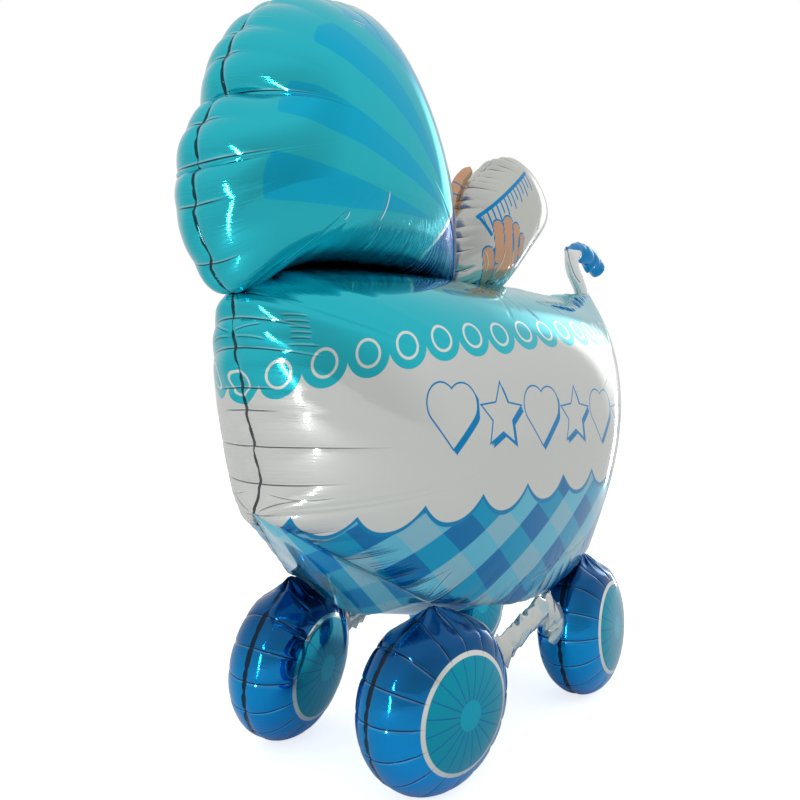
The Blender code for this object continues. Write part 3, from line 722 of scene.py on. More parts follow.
def paintTub(n):
    size = {key: value / 1000.0 for key, value in tubPrint.items() if isinstance(value, float)}
    ringStep, rise, hemStep = n.attribute("rings")
    drop, p, q = n.attribute("hem")
    place, high, _ = n.attribute("motif")
    # hearts and stars with a drop shadow
    x = n.centered(place, size["motifPitch"])
    odd = n.isOver(n.fract(n.times(place, 0.5)), 0.5)
    shape = motifDistance(n, x, high, odd)
    shadow = 1.0
    for right, down in tubPrint["shadows"]:
        shifted = motifDistance(n, n.minus(x, right / 1000.0), n.plus(high, down / 1000.0), odd)
        shadow = n.smaller(shifted, shadow)
    inRow = n.times(n.isOver(place, 0.0), n.isUnder(place, tubPrint["motifCount"]))
    outside = n.below(n.times(shape, -1.0), 0.0)
    inked = n.larger(n.below(n.absolute(shape), size["motifLine"]), n.times(n.below(shadow, 0.0), outside))
    inked = n.times(inked, inRow)
    color = n.mix(inked, paper, ink)
    # checks under the scalloped hem
    arc = n.math("POWER", n.absolute(n.centered(hemStep, 2.0)), 2.2)
    edge = n.times(n.minus(1.0, arc), -size["hemDepth"])
    above = n.minus(drop, edge)
    overHem = n.times(above, -1.0)
    checks = checked(n, p, q, srgb(0, 122, 184), srgb(0, 162, 206), srgb(105, 198, 226), srgb(142, 198, 218))
    checks = n.mix(n.below(overHem, 0.006), checks, srgb(0, 140, 195))
    color = n.mix(n.below(above, 0.0), color, checks)
    # band of lobes with a ring in each
    x = n.centered(ringStep, size["ringPitch"])
    lobe = n.minus(n.radius(x, n.minus(rise, 0.0015)), size["lobe"])
    band = n.smaller(lobe, n.times(rise, -1.0))
    color = n.mix(n.below(band, 0.0), color, teal)
    ring = n.apart(n.radius(x, rise), size["ring"])
    white = n.times(n.below(n.times(band, -1.0), 0.0), n.below(overHem, 0.0))
    white = n.times(white, n.minus(1.0, inked))
    color = n.mix(n.below(ring, size["ringLine"]), color, srgb(240, 242, 236))
    color, relief = foldedPaint(n, color, tubPrint["folds"], 0.75, 0.18)
    return color, n.larger(white, n.times(n.below(above, 0.0), 0.6)), relief


def paintGusset(n):
    x, y, z = n.split(n.objectPlace())
    p, q = n.times(x, 1.0 / 0.064), n.times(y, 1.0 / 0.064)
    return checked(n, p, q, srgb(0, 165, 228), srgb(70, 205, 240), srgb(135, 225, 246), srgb(175, 234, 248)), 0.7


tubFoil = foilMaterial("tub_print", paintTub)
gussetFoil = foilMaterial("gusset_print", paintGusset, seam=None)
finish(tubShell, [tubFoil, gussetFoil], ["tub"])
print("tub ready")


# Hood

hood = {
    "length": 0.376, "height": 0.336, "halfWidth": 0.120, "clearance": 0.0003, "middle": (0.40, 0.56),
    "notches": [(0.0, 0.0), (-0.125, 0.369), (-0.029, 0.613), (0.3, 1.045)],
    "rises": [0.170, 0.200, 0.235],
    "fine": 9, "counts": [9, 8, 14], "frontCount": 24, "footCount": 9,     # columns, each times fine
    "front": [(0.3, 1.045), (0.345, 1.09), (0.42, 1.102), (0.52, 1.06), (0.63, 0.94), (0.775, 0.74), (0.92, 0.52),
              (1.04, 0.34), (1.105, 0.19)],
    "rings": 56, "creases": {"spacing": 0.042, "seed": 8, "reach": 0.030, "depth": 0.0005},
    "look": {"valley": 0.0065, "valleyAt": 0.018, "puff": 0.012, "spread": 0.034, "groove": 0.0009,
             "grooveWidth": 0.0016, "foldWidth": 0.006},
    "jog": 0.0034,
}
topSeam = smoothCurve([tubPoint(s) for s in tub["top"]], 240)


def topLine(x):
    return np.interp(x, topSeam[:, 0], topSeam[:, 1])


hoodCorner = np.array(tubPoint(tub["top"][0]))
hoodSize = np.array([hood["length"], hood["height"]])
hoodFootX = hoodCorner[0] + hood["front"][-1][0] * hood["length"]


def hoodOutline():
    fine = hood["fine"]
    notches = [hoodCorner + np.array(share) * hoodSize for share in hood["notches"]]
    parts = [arcLobe(a, b, rise, count * fine)[:-1]
             for a, b, rise, count in zip(notches, notches[1:], hood["rises"], hood["counts"])]
    front = [hoodCorner + np.array(share) * hoodSize for share in hood["front"][:-1]]
    front.append(np.array([hoodFootX, topLine(hoodFootX)]))
    parts.append(smoothCurve(front, hood["frontCount"] * fine)[:-1])
    footX = np.linspace(hoodFootX, hoodCorner[0], hood["footCount"] * fine + 1)[:-1]
    parts.append(np.stack([footX, topLine(footX)], axis=1))
    return np.vstack(parts) + np.array([0.0, hood["clearance"]])


outline = hoodOutline()
hoodMiddle = hoodCorner + np.array(hood["middle"]) * hoodSize
points, inward, flat, along = blownPanel(outline, hoodMiddle, np.zeros(len(outline)), hood["halfWidth"],
                                         hood["rings"], 4)
hoodLength = rimLength(outline, along)
notches = along[np.cumsum([0] + hood["counts"]) * hood["fine"]]
fixed = [(notches[0], 0.05, 0.002), (notches[1] - 0.003, 0.09, 0.0012), (notches[1] + 0.006, 0.10, 0.0010),
         (notches[2] - 0.003, 0.13, 0.0012), (notches[2] + 0.007, 0.12, 0.0010), (notches[3], 0.10, 0.0015)]
creases = makeCreases(hoodLength, fixed, **hood["creases"])
footCalm = np.ones(len(outline))
footCalm[-hood["footCount"] * hood["fine"] + 8:-8] = 0.12
swollen, fold = gathered(points, inward, along, hoodLength, creases, hood["look"], smoothedRound(footCalm, 8))
rows = np.concatenate([mirrored(swollen), swollen[1:]])


hoodPrint = {
    # in millimetres of the flat print; the piping round the opening is given as height and x
    "stripes": [
        [(-494, 727), (-501, 713), (-503, 697), (-502, 685), (-499, 674), (-455, 679), (-388, 685), (-319, 694),
         (-253, 700), (-210, 704), (-283, 707), (-348, 713), (-413, 719), (-461, 724)],
        [(-473, 813), (-482, 801), (-487, 785), (-489, 772), (-461, 768), (-428, 759), (-388, 753), (-337, 743),
         (-271, 731), (-205, 719), (-265, 745), (-320, 768), (-374, 783), (-415, 796), (-446, 808)],
        [(-443, 862), (-440, 874), (-432, 887), (-415, 894), (-401, 886), (-378, 870), (-351, 857), (-318, 837),
         (-287, 811), (-253, 777), (-218, 737), (-258, 764), (-301, 793), (-339, 813), (-386, 831), (-421, 850)],
        [(-392, 914), (-382, 935), (-351, 948), (-322, 938), (-290, 905), (-262, 870), (-238, 825), (-214, 750),
         (-240, 800), (-270, 848), (-317, 869), (-356, 890)]],
    "piping": [(600, -172), (639, -186), (660, -200), (682, -199), (705, -190), (725, -182), (790, -196),
               (850, -222), (900, -260), (945, -308), (990, -345)],
    # pipingWidth, then how dark the painted shade at the hood's foot gets
    "pipingWidth": 0.0085, "footShade": 0.65,
    # long folds, drawn as painted shade and painted highlight lines with a little relief
    "folds": [((-341, 715), (-341, 679), 0.7, 2.0), ((-336, 676), (-332, 633), 0.5, 2.0),
              ((-395, 681), (-398, 671), 0.5, 1.0), ((-381, 907), (-362, 904), 0.5, 1.0)],
}
u, v = flat[:, :, 0] * 1000.0, flat[:, :, 1] * 1000.0
fan = np.min([outlineDistance(u, v, corners) for corners in hoodPrint["stripes"]], axis=0)
opening = u - np.interp(v, *np.array(hoodPrint["piping"]).T)
footStart = (sum(hood["counts"]) + hood["frontCount"] - 1) * hood["fine"]
overFoot = smoothedRound(np.where(np.arange(len(outline)) >= footStart, 1.0, 0.0), 20)
# height over the tub's top seam, the mask for the painted shade and painted highlight at the hood's foot
lift = swollen[:, :, 2] - topLine(swollen[:, :, 0]) + 0.16 * (1.0 - overFoot)
hoodLayers = {
    "flat": asVectors(u / 1000.0, v / 1000.0), "print": asVectors(fan / 1000.0, opening / 1000.0, lift),
    "seam": seamPlaces(along, inward), "fold": fold,
}
seamJog(rows, twoSides(inward), along, hoodLength, creases, hood["jog"])
hoodShell = gridBody("hood_shell", rows, {key: twoSides(layer) for key, layer in hoodLayers.items()})


def paintHood(n):
    fan, opening, lift = n.attribute("print")
    color = n.mix(n.below(fan, 0.0), teal, stripe)
    color = n.mix(n.below(opening, 0.0), srgb(0, 92, 172), color)
    piping = n.apart(opening, hoodPrint["pipingWidth"] / 2.0)
    color = n.mix(n.below(piping, hoodPrint["pipingWidth"] / 2.0), color, srgb(235, 238, 232))
    # painted shade where the hood folds down against the tub, broken by painted highlight streaks on the fold
    footShade = n.ramp(lift, 0.075, 0.004, 0.0, hoodPrint["footShade"])
    along, inward, _ = n.attribute("seam")
    streak = n.noise(n.combine(n.times(along, 420.0), n.times(inward, 9.0)), 1.0)
    fold = n.ramp(lift, 0.085, 0.030)
    outer = n.minus(1.0, n.below(opening, 0.0))
    shine = n.times(n.ramp(streak, 0.53, 0.60), n.times(fold, outer))
    # painted highlight streaks on the fold
    color = n.mix(n.times(shine, 0.6), color, srgb(150, 235, 245))
    footShade = n.times(footShade, n.ramp(streak, 0.34, 0.58, 1.10, 0.50))
    color, relief = foldedPaint(n, n.mix(footShade, color, srgb(0, 50, 75)), hoodPrint["folds"], 0.3, 0.8)
    relief = n.plus(relief, n.times(streak, n.times(fold, 0.8)))
    return color, n.times(shine, 0.9), relief


hoodFoil = foilMaterial("hood_print", paintHood)
finish(hoodShell, [hoodFoil], ["hood"])
print("hood ready")


# Wheels

wheel = {
    "halfThickness": 0.060, "facets": 16, "perFacet": 18, "rings": 34, "groove": 0.0016, "grooveWidth": 0.0019,
    "swell": 0.0016, "seamDip": 0.0022, "neckFrom": 0.74, "neckFolds": 9.0, "neckFold": 0.0022,
    "spokes": 20.0, "spokeLine": 0.0007, "hub": 0.018, "disc": 0.068, "ringEdge": 0.0735,
    # front or back, left or right, turn and lean in degrees
    "places": {"wheel_front_left": (-1, -1, -9.1, 2.3), "wheel_front_right": (-1, 1, 12.3, 6.0),
               "wheel_back_left": (1, -1, 6.5, -2.5), "wheel_back_right": (1, 1, -6.0, -3.0)},
}


def wheelRows():
    q = (1.0 - np.cos(math.pi * np.arange(wheel["perFacet"]) / wheel["perFacet"])) / 2.0
    facet = 2.0 * math.pi / wheel["facets"]
    angle = np.concatenate([(k + q) * facet for k in range(wheel["facets"])])
    inside = np.tile(q, wheel["facets"])
    turn = np.linspace(0.0, math.pi, 2 * wheel["rings"] + 1)
    share = np.sin(turn)[:, None]
    y = -np.cos(turn)
    y = np.sign(y)[:, None] * wheel["halfThickness"] * foilProfile(1.0 - share ** 2)
    flatness = np.cos(facet / 2.0) / np.cos((inside - 0.5) * facet)
    fade = np.clip((share - 0.6) / 0.3, 0.0, 1.0)
    reach = wheelRadius * share * (1.0 + (flatness[None] - 1.0) * fade)
    points = np.stack([reach * np.cos(angle), np.broadcast_to(y, reach.shape), reach * np.sin(angle)], axis=2)
    step = np.linalg.norm(np.diff(points, axis=0), axis=2)
    run = np.vstack([np.zeros(len(angle)), np.cumsum(step, axis=0)])
    inward = abs(run - run[wheel["rings"]])
    away = np.minimum(inside, 1.0 - inside)[None] * facet * wheelRadius * share
    radial = points.copy()
    radial[:, :, 1] *= 1.6
    normal = radial / np.maximum(np.linalg.norm(radial, axis=2, keepdims=True), 1e-9)
    lift = -wheel["groove"] * np.exp(-(away / wheel["grooveWidth"]) ** 1.2) * np.clip((share - 0.66) / 0.12, 0, 1)
    lift = lift + wheel["swell"] * 4 * inside * (1 - inside) * np.clip((share - 0.66) / 0.2, 0, 1)
    lift = lift - wheel["seamDip"] * np.exp(-inward / 0.004)
    turn = 2.0 * math.pi * inside[None]
    fade = np.clip((share - 0.62) / 0.15, 0.0, 1.0)
    fold = asVectors(np.sin(turn) * facet * wheelRadius * share / (2.0 * math.pi),
                     np.broadcast_to(np.cos(turn), reach.shape), np.broadcast_to(fade, reach.shape))
    return points + normal * lift[:, :, None], inward, angle, fold


wheelPoints, wheelInward, wheelAngle, wheelFold = wheelRows()


def makeWheel(name, front, side, turn, lean):
    turned = np.array(Matrix.Rotation(math.radians(turn), 3, "Z") @ Matrix.Rotation(math.radians(lean), 3, "X"))
    center = np.array([baseX + front * wheelBase / 2.0, side * track / 2.0, axleHeight])
    local = wheelPoints.copy()
    up = np.clip((local[:, :, 2] / wheelRadius - wheel["neckFrom"]) / (1.0 - wheel["neckFrom"]), 0.0, 1.0)
    local[:, :, 1] *= 1.0 - 0.80 * up ** 1.5
    local[:, :, 0] *= 1.0 - 0.55 * up ** 2
    placed = local @ turned.T + center
    apex = center + turned @ np.array([0.0, 0.0, wheelRadius])
    target = np.array([baseX + front * (wheelBase / 2.0 + tub["lean"]), side * track / 2.0, neckHeight])
    placed += (up ** 3)[:, :, None] * (target - apex)
    # folds that fan out from the tied neck
    fromTop = np.linalg.norm(local - np.array([0.0, 0.0, wheelRadius]), axis=2)
    fan = np.arctan2(wheelPoints[:, :, 1], wheelPoints[:, :, 0])
    height = wheel["neckFold"] * np.cos(wheel["neckFolds"] * fan) * np.exp(-((fromTop - 0.022) / 0.016) ** 2)
    outwards = local / np.maximum(np.linalg.norm(local, axis=2, keepdims=True), 1e-9)
    placed += (outwards * height[:, :, None]) @ turned.T
    placed[:, :, 2] = np.maximum(placed[:, :, 2], 0.0)
    layers = {"disc": wheelPoints, "fold": wheelFold, "seam": seamPlaces(wheelAngle * wheelRadius, wheelInward)}
    finish(gridBody(name + "_shell", placed, layers), [wheelFoil], [name])


def paintWheel(n):
    x, y, z = n.attribute("disc")
    r = n.radius(x, z)
    fullTurn = 2.0 * math.pi
    spoke = n.times(n.math("ARCTAN2", z, x), wheel["spokes"] / fullTurn)
    fromSpoke = n.times(n.absolute(n.centered(spoke, fullTurn / wheel["spokes"])), r)
    disc = n.mix(n.below(fromSpoke, wheel["spokeLine"]), srgb(0, 164, 192), srgb(25, 112, 190))
    disc = n.mix(n.below(r, wheel["hub"]), disc, srgb(0, 182, 212))
    ring = n.mix(n.below(r, wheel["disc"]), srgb(240, 242, 236), disc)
    # the tread gets darker towards its top: painted shade under the tub
    shadedTread = n.mix(n.ramp(z, -0.03, 0.085, 0.0, 0.85), royal, srgb(0, 62, 120))
    return n.mix(n.below(r, wheel["ringEdge"]), shadedTread, ring), 0.0


wheelFoil = foilMaterial("wheel_print", paintWheel, reach=0.045, seam=0.0038, glint=0.10)
for name, place in wheel["places"].items():
    makeWheel(name, *place)
print("wheels ready")


# Bottle

bottle = {
    "length": 0.308, "height": 0.222, "halfWidth": 0.062, "clearance": 0.012, "middle": (0.56, 0.50),
    "outline": [(0.396, 0.012), (0.618, 0.329), (0.862, 0.586), (0.909, 0.72), (0.656, 0.985), (0.52, 1.04),
                (0.395, 0.995), (0.236, 0.82), (0.099, 0.7), (0.032, 0.5), (-0.015, 0.329), (-0.02, 0.16),
                (0.0, 0.012)],
    "rings": 56, "shellCount": 520, "seatCount": 96,
    "creases": {"spacing": 0.024, "seed": 3, "reach": 0.03, "depth": 0.001},
    "look": {"valley": 0.0030, "valleyAt": 0.010, "puff": 0.045, "spread": 0.030, "groove": 0.0010,
             "grooveWidth": 0.0016, "foldWidth": 0.008},
}
bottleFoot = np.array([hoodFootX + bottle["clearance"], 0.0])
bottleFoot[1] = topLine(bottleFoot[0])
bottleSize = np.array([bottle["length"], bottle["height"]])
corners = [bottleFoot + np.array(share) * bottleSize for share in bottle["outline"]]
for k in (0, -1):
    corners[k][1] = topLine(corners[k][0]) + hood["clearance"]
shell = smoothCurve(corners, bottle["shellCount"])
seatX = np.linspace(corners[-1][0], corners[0][0], bottle["seatCount"] + 1)[:-1]
outline = np.vstack([shell[:-1], np.stack([seatX, topLine(seatX) + hood["clearance"]], axis=1)])
bottleMiddle = bottleFoot + np.array(bottle["middle"]) * bottleSize
points, inward, flat, along = blownPanel(outline, bottleMiddle, np.zeros(len(outline)), bottle["halfWidth"],
                                         bottle["rings"], 4)
bottleLength = rimLength(outline, along)
fixed = [(along[80], 0.05, 0.004), (along[325], 0.06, 0.004), (along[395], 0.06, 0.004)]
creases = makeCreases(bottleLength, fixed, **bottle["creases"])
swollen, fold = gathered(points, inward, along, bottleLength, creases, bottle["look"])
rows = np.concatenate([mirrored(swollen), swollen[1:]])
bottlePrint = {
    # in millimetres of the flat print
    "scale": {"start": (-33.0, 760.0), "along": (0.796, 0.605), "ticks": (0.32, -0.947), "length": 167.0,
              "pitch": 11.6},
    "fingers": [((4, 747), (13, 702), 11.0), ((27, 756), (37, 704), 12.2), ((49, 751), (56, 709), 10.6),
                ((68, 739), (69, 718), 9.0), ((-12, 703), (3, 668), 11.5)],
    "palm": [(8, 700), (18, 716), (68, 728), (75, 716), (66, 700), (58, 686), (44, 668), (16, 655), (8, 678)],
    # long folds, drawn as painted shade and painted highlight lines with a little relief
    "folds": [((23, 714), (14, 674), 0.8, 3.0), ((41, 721), (54, 671), 0.7, 4.0),
              ((-28, 683), (-56, 667), 0.5, 2.0), ((64, 705), (62, 672), 0.6, -3.0),
              ((-21, 707), (-5, 671), 0.5, 3.0)],
}
u, v = flat[:, :, 0] * 1000.0, flat[:, :, 1] * 1000.0
scale = bottlePrint["scale"]
axes = np.linalg.inv(np.array([scale["along"], scale["ticks"]]).T)
placeOn = (np.stack([u, v], axis=-1) - np.array(scale["start"])) @ axes.T
fingers = np.array([roundedLine(u, v, *finger) for finger in bottlePrint["fingers"]])
palm = outlineDistance(u, v, bottlePrint["palm"])
hand = np.minimum(fingers.min(axis=0), palm)
edges = np.minimum(abs(fingers).min(axis=0), abs(hand))
edges = np.where(hand < -0.5, np.maximum(edges, -palm - 7.0), edges)
bottleLayers = {
    "flat": asVectors(u / 1000.0, v / 1000.0), "hand": asVectors(hand / 1000.0, edges / 1000.0),
    "scale": asVectors(placeOn[:, :, 0] / 1000.0, placeOn[:, :, 1] / 1000.0),
    "seam": seamPlaces(along, inward), "fold": fold,
}
bottleShell = gridBody("bottle_shell", rows, {key: twoSides(layer) for key, layer in bottleLayers.items()})


def paintBottle(n):
    t, w, _ = n.attribute("scale")
    hand, edges, _ = n.attribute("hand")
    length, pitch = scale["length"] / 1000.0, scale["pitch"] / 1000.0
    onLine = n.times(n.isOver(t, -0.001), n.isUnder(t, length))
    bar = n.times(n.below(n.apart(w, 0.0026), 0.0030), onLine)
    slant = n.minus(t, n.times(w, 0.32))
    first = n.times(n.below(n.apart(slant, 0.0024), 0.0028), n.below(n.apart(w, 0.020), 0.020))
    step = n.over(n.minus(t, 0.004), pitch)
    tick = n.below(n.absolute(n.centered(step, pitch)), 0.0017)
    longer = n.isOver(n.fract(n.times(step, 0.5)), 0.5)
    reach = n.plus(0.024, n.times(longer, 0.009))
    tick = n.times(tick, n.times(n.below(n.minus(w, reach), 0.0), n.isOver(w, 0.0)))
    tick = n.times(tick, n.times(onLine, n.isOver(t, 0.010)))
    inked = n.larger(bar, n.larger(first, tick))
    color = n.mix(inked, srgb(208, 210, 203), ink)
    color = n.mix(n.below(hand, 0.0), color, skin)
    outlined = n.below(edges, 0.0014)
    bare = n.minus(1.0, n.larger(outlined, inked))
    color, relief = foldedPaint(n, n.mix(outlined, color, ink), bottlePrint["folds"], 0.5, 0.6)
    return color, bare, relief


bottleFoil = foilMaterial("bottle_print", paintBottle, reach=0.05, seam=0.0008)
finish(bottleShell, [bottleFoil], ["bottle"])
print("bottle ready")


# Handle, fingertips and chassis bars

def foilTube(name, path, widths, thicknesses, y, seed, folds, foldDepth, foldWidth, ears, jag=0.0, around=44):
    # a flat foil tube along a path in an XZ plane, creased across at random places, with pointed ears
    pick = np.random.default_rng(seed)
    way = np.gradient(path, axis=0)
    way /= np.linalg.norm(way, axis=1)[:, None]
    angle = np.linspace(0.0, 2.0 * math.pi, around, endpoint=False)
    bulge = np.sign(np.sin(angle)) * abs(np.sin(angle)) ** 1.25
    run = np.concatenate([[0.0], np.cumsum(np.linalg.norm(np.diff(path, axis=0), axis=1))])
    size = np.ones((len(path), around))
    for k in range(folds):
        place, slant = pick.uniform(0.03, 0.97) * run[-1], pick.uniform(-5.0, 5.0) * foldWidth
        middle, wide = pick.uniform(0, 2 * math.pi), pick.uniform(0.8, 2.2)
        turnAway = abs((angle - middle + math.pi) % (2 * math.pi) - math.pi)
        away = abs(run[:, None] - place - slant * np.sin(angle - middle)[None])
        deep = foldDepth * pick.uniform(0.4, 1.0)
        size -= deep * np.exp(-away / foldWidth) * np.clip(1 - turnAway / wide, 0, 1)[None]
    across = np.cos(angle)[None] * widths[:, None] / 2.0 * (0.6 + 0.4 * size)
    for edge in (1.0, -1.0):                     # ragged crimped edges
        marks = np.cumsum(pick.uniform(0.004, 0.013, 60)) - 0.01
        heights = pick.uniform(-0.3, 1.0, 60)
        ragged = np.interp(run, marks, heights)[:, None] * jag
        across = across * (1.0 + ragged * np.clip(edge * np.cos(angle)[None], 0.0, 1.0) ** 4)
    for place, tall, edge in ears:               # pointed corners on one edge
        point = np.exp(-abs(run - place) / 0.005)[:, None]
        across = across + edge * tall * point * np.clip(edge * np.cos(angle)[None], 0.0, 1.0) ** 3
    out = bulge[None] * thicknesses[:, None] / 2.0 * size
    rows = np.stack([path[:, :1] - way[:, 1:] * across, y + out, path[:, 1:] + way[:, :1] * across], axis=2)
    first, last = rows[:1].mean(axis=1, keepdims=True), rows[-1:].mean(axis=1, keepdims=True)
    rows = np.concatenate([np.repeat(first, around, 1), rows, np.repeat(last, around, 1)])
    inRun = np.concatenate([[0.0], run, [run[-1]]])
    layers = {"tube": asVectors(np.repeat(inRun[:, None], around, 1), np.tile(angle, (len(rows), 1)))}
    return gridBody(name, rows, layers)


fingertips = {"path": [(0.004, 0.728), (-0.022, 0.752), (-0.034, 0.782), (-0.026, 0.808), (-0.006, 0.832),
                       (0.013, 0.846)],
              "width": 0.031, "thickness": 0.012, "y": 0.002, "lines": (0.082, 0.100),
              "foil": {"seed": 9, "folds": 12, "foldDepth": 0.30, "foldWidth": 0.004,
                       "ears": [(0.118, 0.008, -1.0)]}}      # place along the tube, how tall, which edge
path = smoothCurve(fingertips["path"], 60)
share = np.linspace(0.0, 1.0, 61)
taper = np.sin(np.clip(share, 0.12, 1.0) * math.pi * 0.92) ** 0.6
tipShell = foilTube("fingertips_shell", path, fingertips["width"] * taper, fingertips["thickness"] * taper,
                    fingertips["y"], **fingertips["foil"])


def paintTips(n):
    run, turn, _ = n.attribute("tube")
    run = n.plus(run, n.times(n.math("COSINE", turn), 0.004))
    inked = 0.0
    for place in fingertips["lines"]:
        inked = n.larger(n.below(n.apart(run, place), 0.0011), inked)
    return n.mix(inked, skin, srgb(0, 130, 200)), 0.0


finish(tipShell, [foilMaterial("fingertips_print", paintTips, seam=None)], [])

handle = {"setback": 0.0356, "height": 0.080, "reach": 0.086, "bow": 0.050, "stalkWidth": 0.034,
          "stalkThickness": 0.026, "gripWidth": 0.040, "gripThickness": 0.036,
          "gripFrom": 0.108, "gripSlant": 0.020, "weldTurn": 4.824, "weldTwist": 12.2, "weldMiddle": 0.065,
          "weldReach": 0.026,
          "foil": {"seed": 5, "folds": 34, "foldDepth": 0.20, "foldWidth": 0.0045, "jag": 0.10,
                   "ears": [(0.090, 0.020, 1.0), (0.180, 0.012, -1.0)]}}
handleX = tubPoint(tub["top"][-1])[0] - handle["setback"]
handleZ = float(topLine(handleX))
bow, tall, far = handle["bow"], handle["height"], handle["reach"]
path = smoothCurve([
    (handleX, handleZ - 0.05 * tall), (handleX - 0.24 * bow, handleZ + 0.18 * tall),
    (handleX - 0.84 * bow, handleZ + 0.50 * tall), (handleX - bow, handleZ + 0.80 * tall),
    (handleX - 0.6 * bow, handleZ + 1.02 * tall), (handleX + 0.12 * far, handleZ + tall),
    (handleX + 0.6 * far, handleZ + 0.88 * tall), (handleX + far, handleZ + 0.66 * tall)], 120)
share = np.linspace(0.0, 1.0, 121)
grip = np.clip((share - 0.50) / 0.10, 0.0, 1.0)
ending = np.clip((1.0 - share) / 0.06, 0.05, 1.0) ** 0.5
widths = (handle["stalkWidth"] + (handle["gripWidth"] - handle["stalkWidth"]) * grip) * ending
thicknesses = (handle["stalkThickness"] + (handle["gripThickness"] - handle["stalkThickness"]) * grip) * ending
handleShell = foilTube("handle_shell", path, widths, thicknesses, 0.0, **handle["foil"])


def paintHandle(n):
    run, turn, _ = n.attribute("tube")
    edge = n.minus(handle["gripFrom"], n.times(n.math("COSINE", turn), handle["gripSlant"]))
    line = n.plus(handle["weldTurn"], n.times(run, handle["weldTwist"]))       # the weld that shows on the stalk
    away = n.times(n.apart(turn, line), 0.015)
    slit = n.times(n.below(away, 0.0006), n.below(n.apart(run, handle["weldMiddle"]), handle["weldReach"]))
    color = n.mix(slit, srgb(250, 252, 250), srgb(60, 70, 80))
    blue = n.below(n.minus(edge, run), 0.0)
    return n.mix(blue, color, srgb(0, 140, 208)), n.times(n.minus(1.0, blue), 1.7)


handleFoil = foilMaterial("handle_print", paintHandle, seam=None)
finish(handleShell, [handleFoil], ["handle"])

chassis = {"rise": 0.060, "width": 0.036, "thickness": 0.026, "endHeight": 0.012, "endThickness": 0.004,
           "clearance": 0.0015, "offset": 0.014, "fin": 0.022,
           "foil": {"folds": 26, "foldDepth": 0.34, "foldWidth": 0.0065, "jag": 0.50,
                    "ears": [(0.018, 0.008, 1.0), (0.030, 0.008, -1.0), (0.160, 0.012, 1.0), (0.172, 0.012, -1.0),
                             (0.196, 0.016, -1.0), (0.186, 0.006, 1.0)]}}
reach = wheelBase / 2.0 - wheelRadius - chassis["clearance"]
rise, endHeight = chassis["rise"], chassis["endHeight"]
path = smoothCurve([
    (0.3 * endHeight - reach, axleHeight + 0.33 * rise), (-0.55 * reach, axleHeight + 0.55 * rise),
    (0.0, axleHeight + 0.86 * rise), (0.46 * reach, axleHeight + rise),
    (0.84 * reach, axleHeight + 0.62 * rise), (reach - 0.6 * endHeight, axleHeight)], 140)
path[:, 0] += baseX
share = np.linspace(0.0, 1.0, 141)
ends = np.sin(np.clip(np.minimum(share, 1.0 - share) / 0.16, 0.0, 1.0) * math.pi / 2.0)
widths = endHeight + (chassis["width"] - endHeight) * ends
widths += chassis["fin"] * np.clip(1.0 - abs(abs(share - 0.5) - 0.455) / 0.05, 0.0, 1.0)
thicknesses = chassis["endThickness"] + (chassis["thickness"] - chassis["endThickness"]) * ends


def paintChassis(n):
    patches = n.ramp(n.noise(n.objectPlace(), 45.0), 0.5, 0.64)
    return n.mix(patches, paper, srgb(185, 212, 220)), 0.5


chassisFoil = foilMaterial("chassis_print", paintChassis, roughness=0.12, metallic=0.9, seam=None)
for name, side, seed in (("chassis_left", -1, 11), ("chassis_right", 1, 12)):
    line = side * (track / 2.0 + chassis["offset"])
    bar = foilTube(name + "_shell", path, widths, thicknesses, line, seed, **chassis["foil"])
    finish(bar, [chassisFoil], [name])
print("handle, fingertips and chassis ready")


# Camera, floor and light

view = {"heading": 37.54, "pitch": 0.25, "roll": 0.82, "place": (-1.0285, -0.6623, 0.4721), "lens": 34.68}
heading, pitch, roll = [math.radians(view[key]) for key in ("heading", "pitch", "roll")]
ahead = Vector((math.cos(heading) * math.cos(pitch), math.sin(heading) * math.cos(pitch), math.sin(pitch)))
right = Vector((math.sin(heading), -math.cos(heading), 0.0))
above = right.cross(ahead)
rightUp = right * math.cos(roll) + above * math.sin(roll), above * math.cos(roll) - right * math.sin(roll)
camera = bpy.data.objects.new("camera", bpy.data.cameras.new("camera"))
bpy.context.scene.collection.objects.link(camera)
camera.matrix_world = Matrix.Translation(view["place"]) @ Matrix((*rightUp, -ahead)).transposed().to_4x4()
camera.data.lens = view["lens"]
camera.data.sensor_width = 36.0
bpy.context.scene.camera = camera

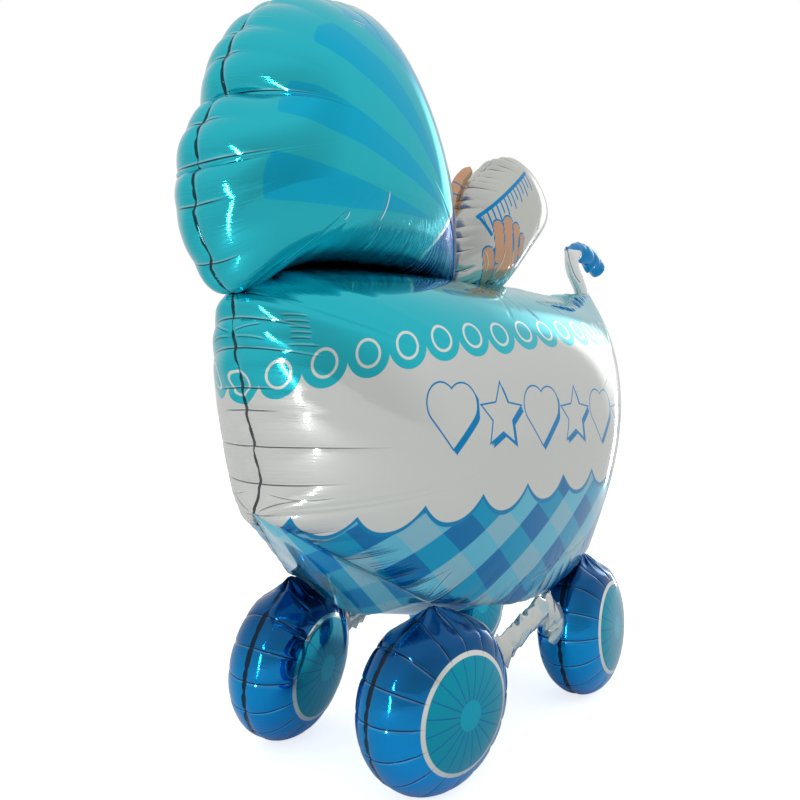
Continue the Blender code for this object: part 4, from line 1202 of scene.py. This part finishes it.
bpy.ops.mesh.primitive_plane_add(size=40.0, location=(0.0, 0.0, -0.0005))
floor = bpy.context.object
floor.name = "floor"
material, paint, shader = newMaterial("floor_paint")
seen = paint.add("ShaderNodeLightPath").outputs["Is Camera Ray"]
haze = paint.noise(paint.objectPlace(), 0.6, 1.0)
paint.link(paint.mix(haze, (0.82, 0.82, 0.82), (0.86, 0.86, 0.86)), shader.inputs["Base Color"])
paint.link(0.8, shader.inputs["Roughness"])
paint.link((1.0, 1.0, 1.0), shader.inputs["Emission Color"])
paint.link(paint.times(seen, 0.72), shader.inputs["Emission Strength"])
floor.data.materials.append(material)

studio = {"base": 0.66, "above": 0.10, "behind": -0.18, "back": (-0.45, -0.89),       # brightness of the room
          "side": 1.5, "sideWay": (0.9997, -0.026), "sideWide": (0.980, 0.9995), "sideTall": (0.34, 0.02),
          "sideHeight": 0.30}
world = bpy.data.worlds.new("studio")
bpy.context.scene.world = world
world.use_nodes = True
room = Nodes(world.node_tree)
x, y, z = room.split(room.add("ShaderNodeTexCoord").outputs["Generated"])
back = room.plus(room.times(x, studio["back"][0]), room.times(y, studio["back"][1]))
level = room.plus(studio["base"], room.ramp(z, -0.1, 0.9, 0.0, studio["above"]))
level = room.plus(level, room.ramp(back, 0.55, 0.98, 0.0, studio["behind"]))
# a soft tall window far off on the side away from the camera
wide = room.plus(room.times(x, studio["sideWay"][0]), room.times(y, studio["sideWay"][1]))
wide = room.ramp(room.over(wide, room.radius(x, y)), *studio["sideWide"])
tall = room.ramp(room.apart(z, studio["sideHeight"]), *studio["sideTall"])
level = room.plus(level, room.times(studio["side"], room.times(wide, tall)))
level = room.larger(level, room.add("ShaderNodeLightPath").outputs["Is Camera Ray"])
background = world.node_tree.nodes["Background"]
room.link((1.0, 1.0, 1.0), background.inputs["Color"])
room.link(level, background.inputs["Strength"])


lights = {
    "front_strip": {"place": (-1.75, -0.50, 0.39), "size": (0.026, 0.78), "power": 4.2, "aim": (-0.2, 0.0, 0.39)},
    "side_strip": {"place": (2.4, -0.16, 0.45), "size": (0.12, 0.9), "power": 2.2, "aim": (0.0, 0.0, 0.45)},
}
for name, light in lights.items():
    data = bpy.data.lights.new(name, "AREA")
    data.shape = "RECTANGLE"
    data.size, data.size_y = light["size"]
    data.energy = light["power"]
    lamp = bpy.data.objects.new(name, data)
    bpy.context.scene.collection.objects.link(lamp)
    lamp.location = light["place"]
    lamp.rotation_euler = (Vector(light["aim"]) - Vector(light["place"])).to_track_quat("-Z", "Y").to_euler()
bpy.context.scene.view_settings.view_transform = "Standard"
print("studio ready")
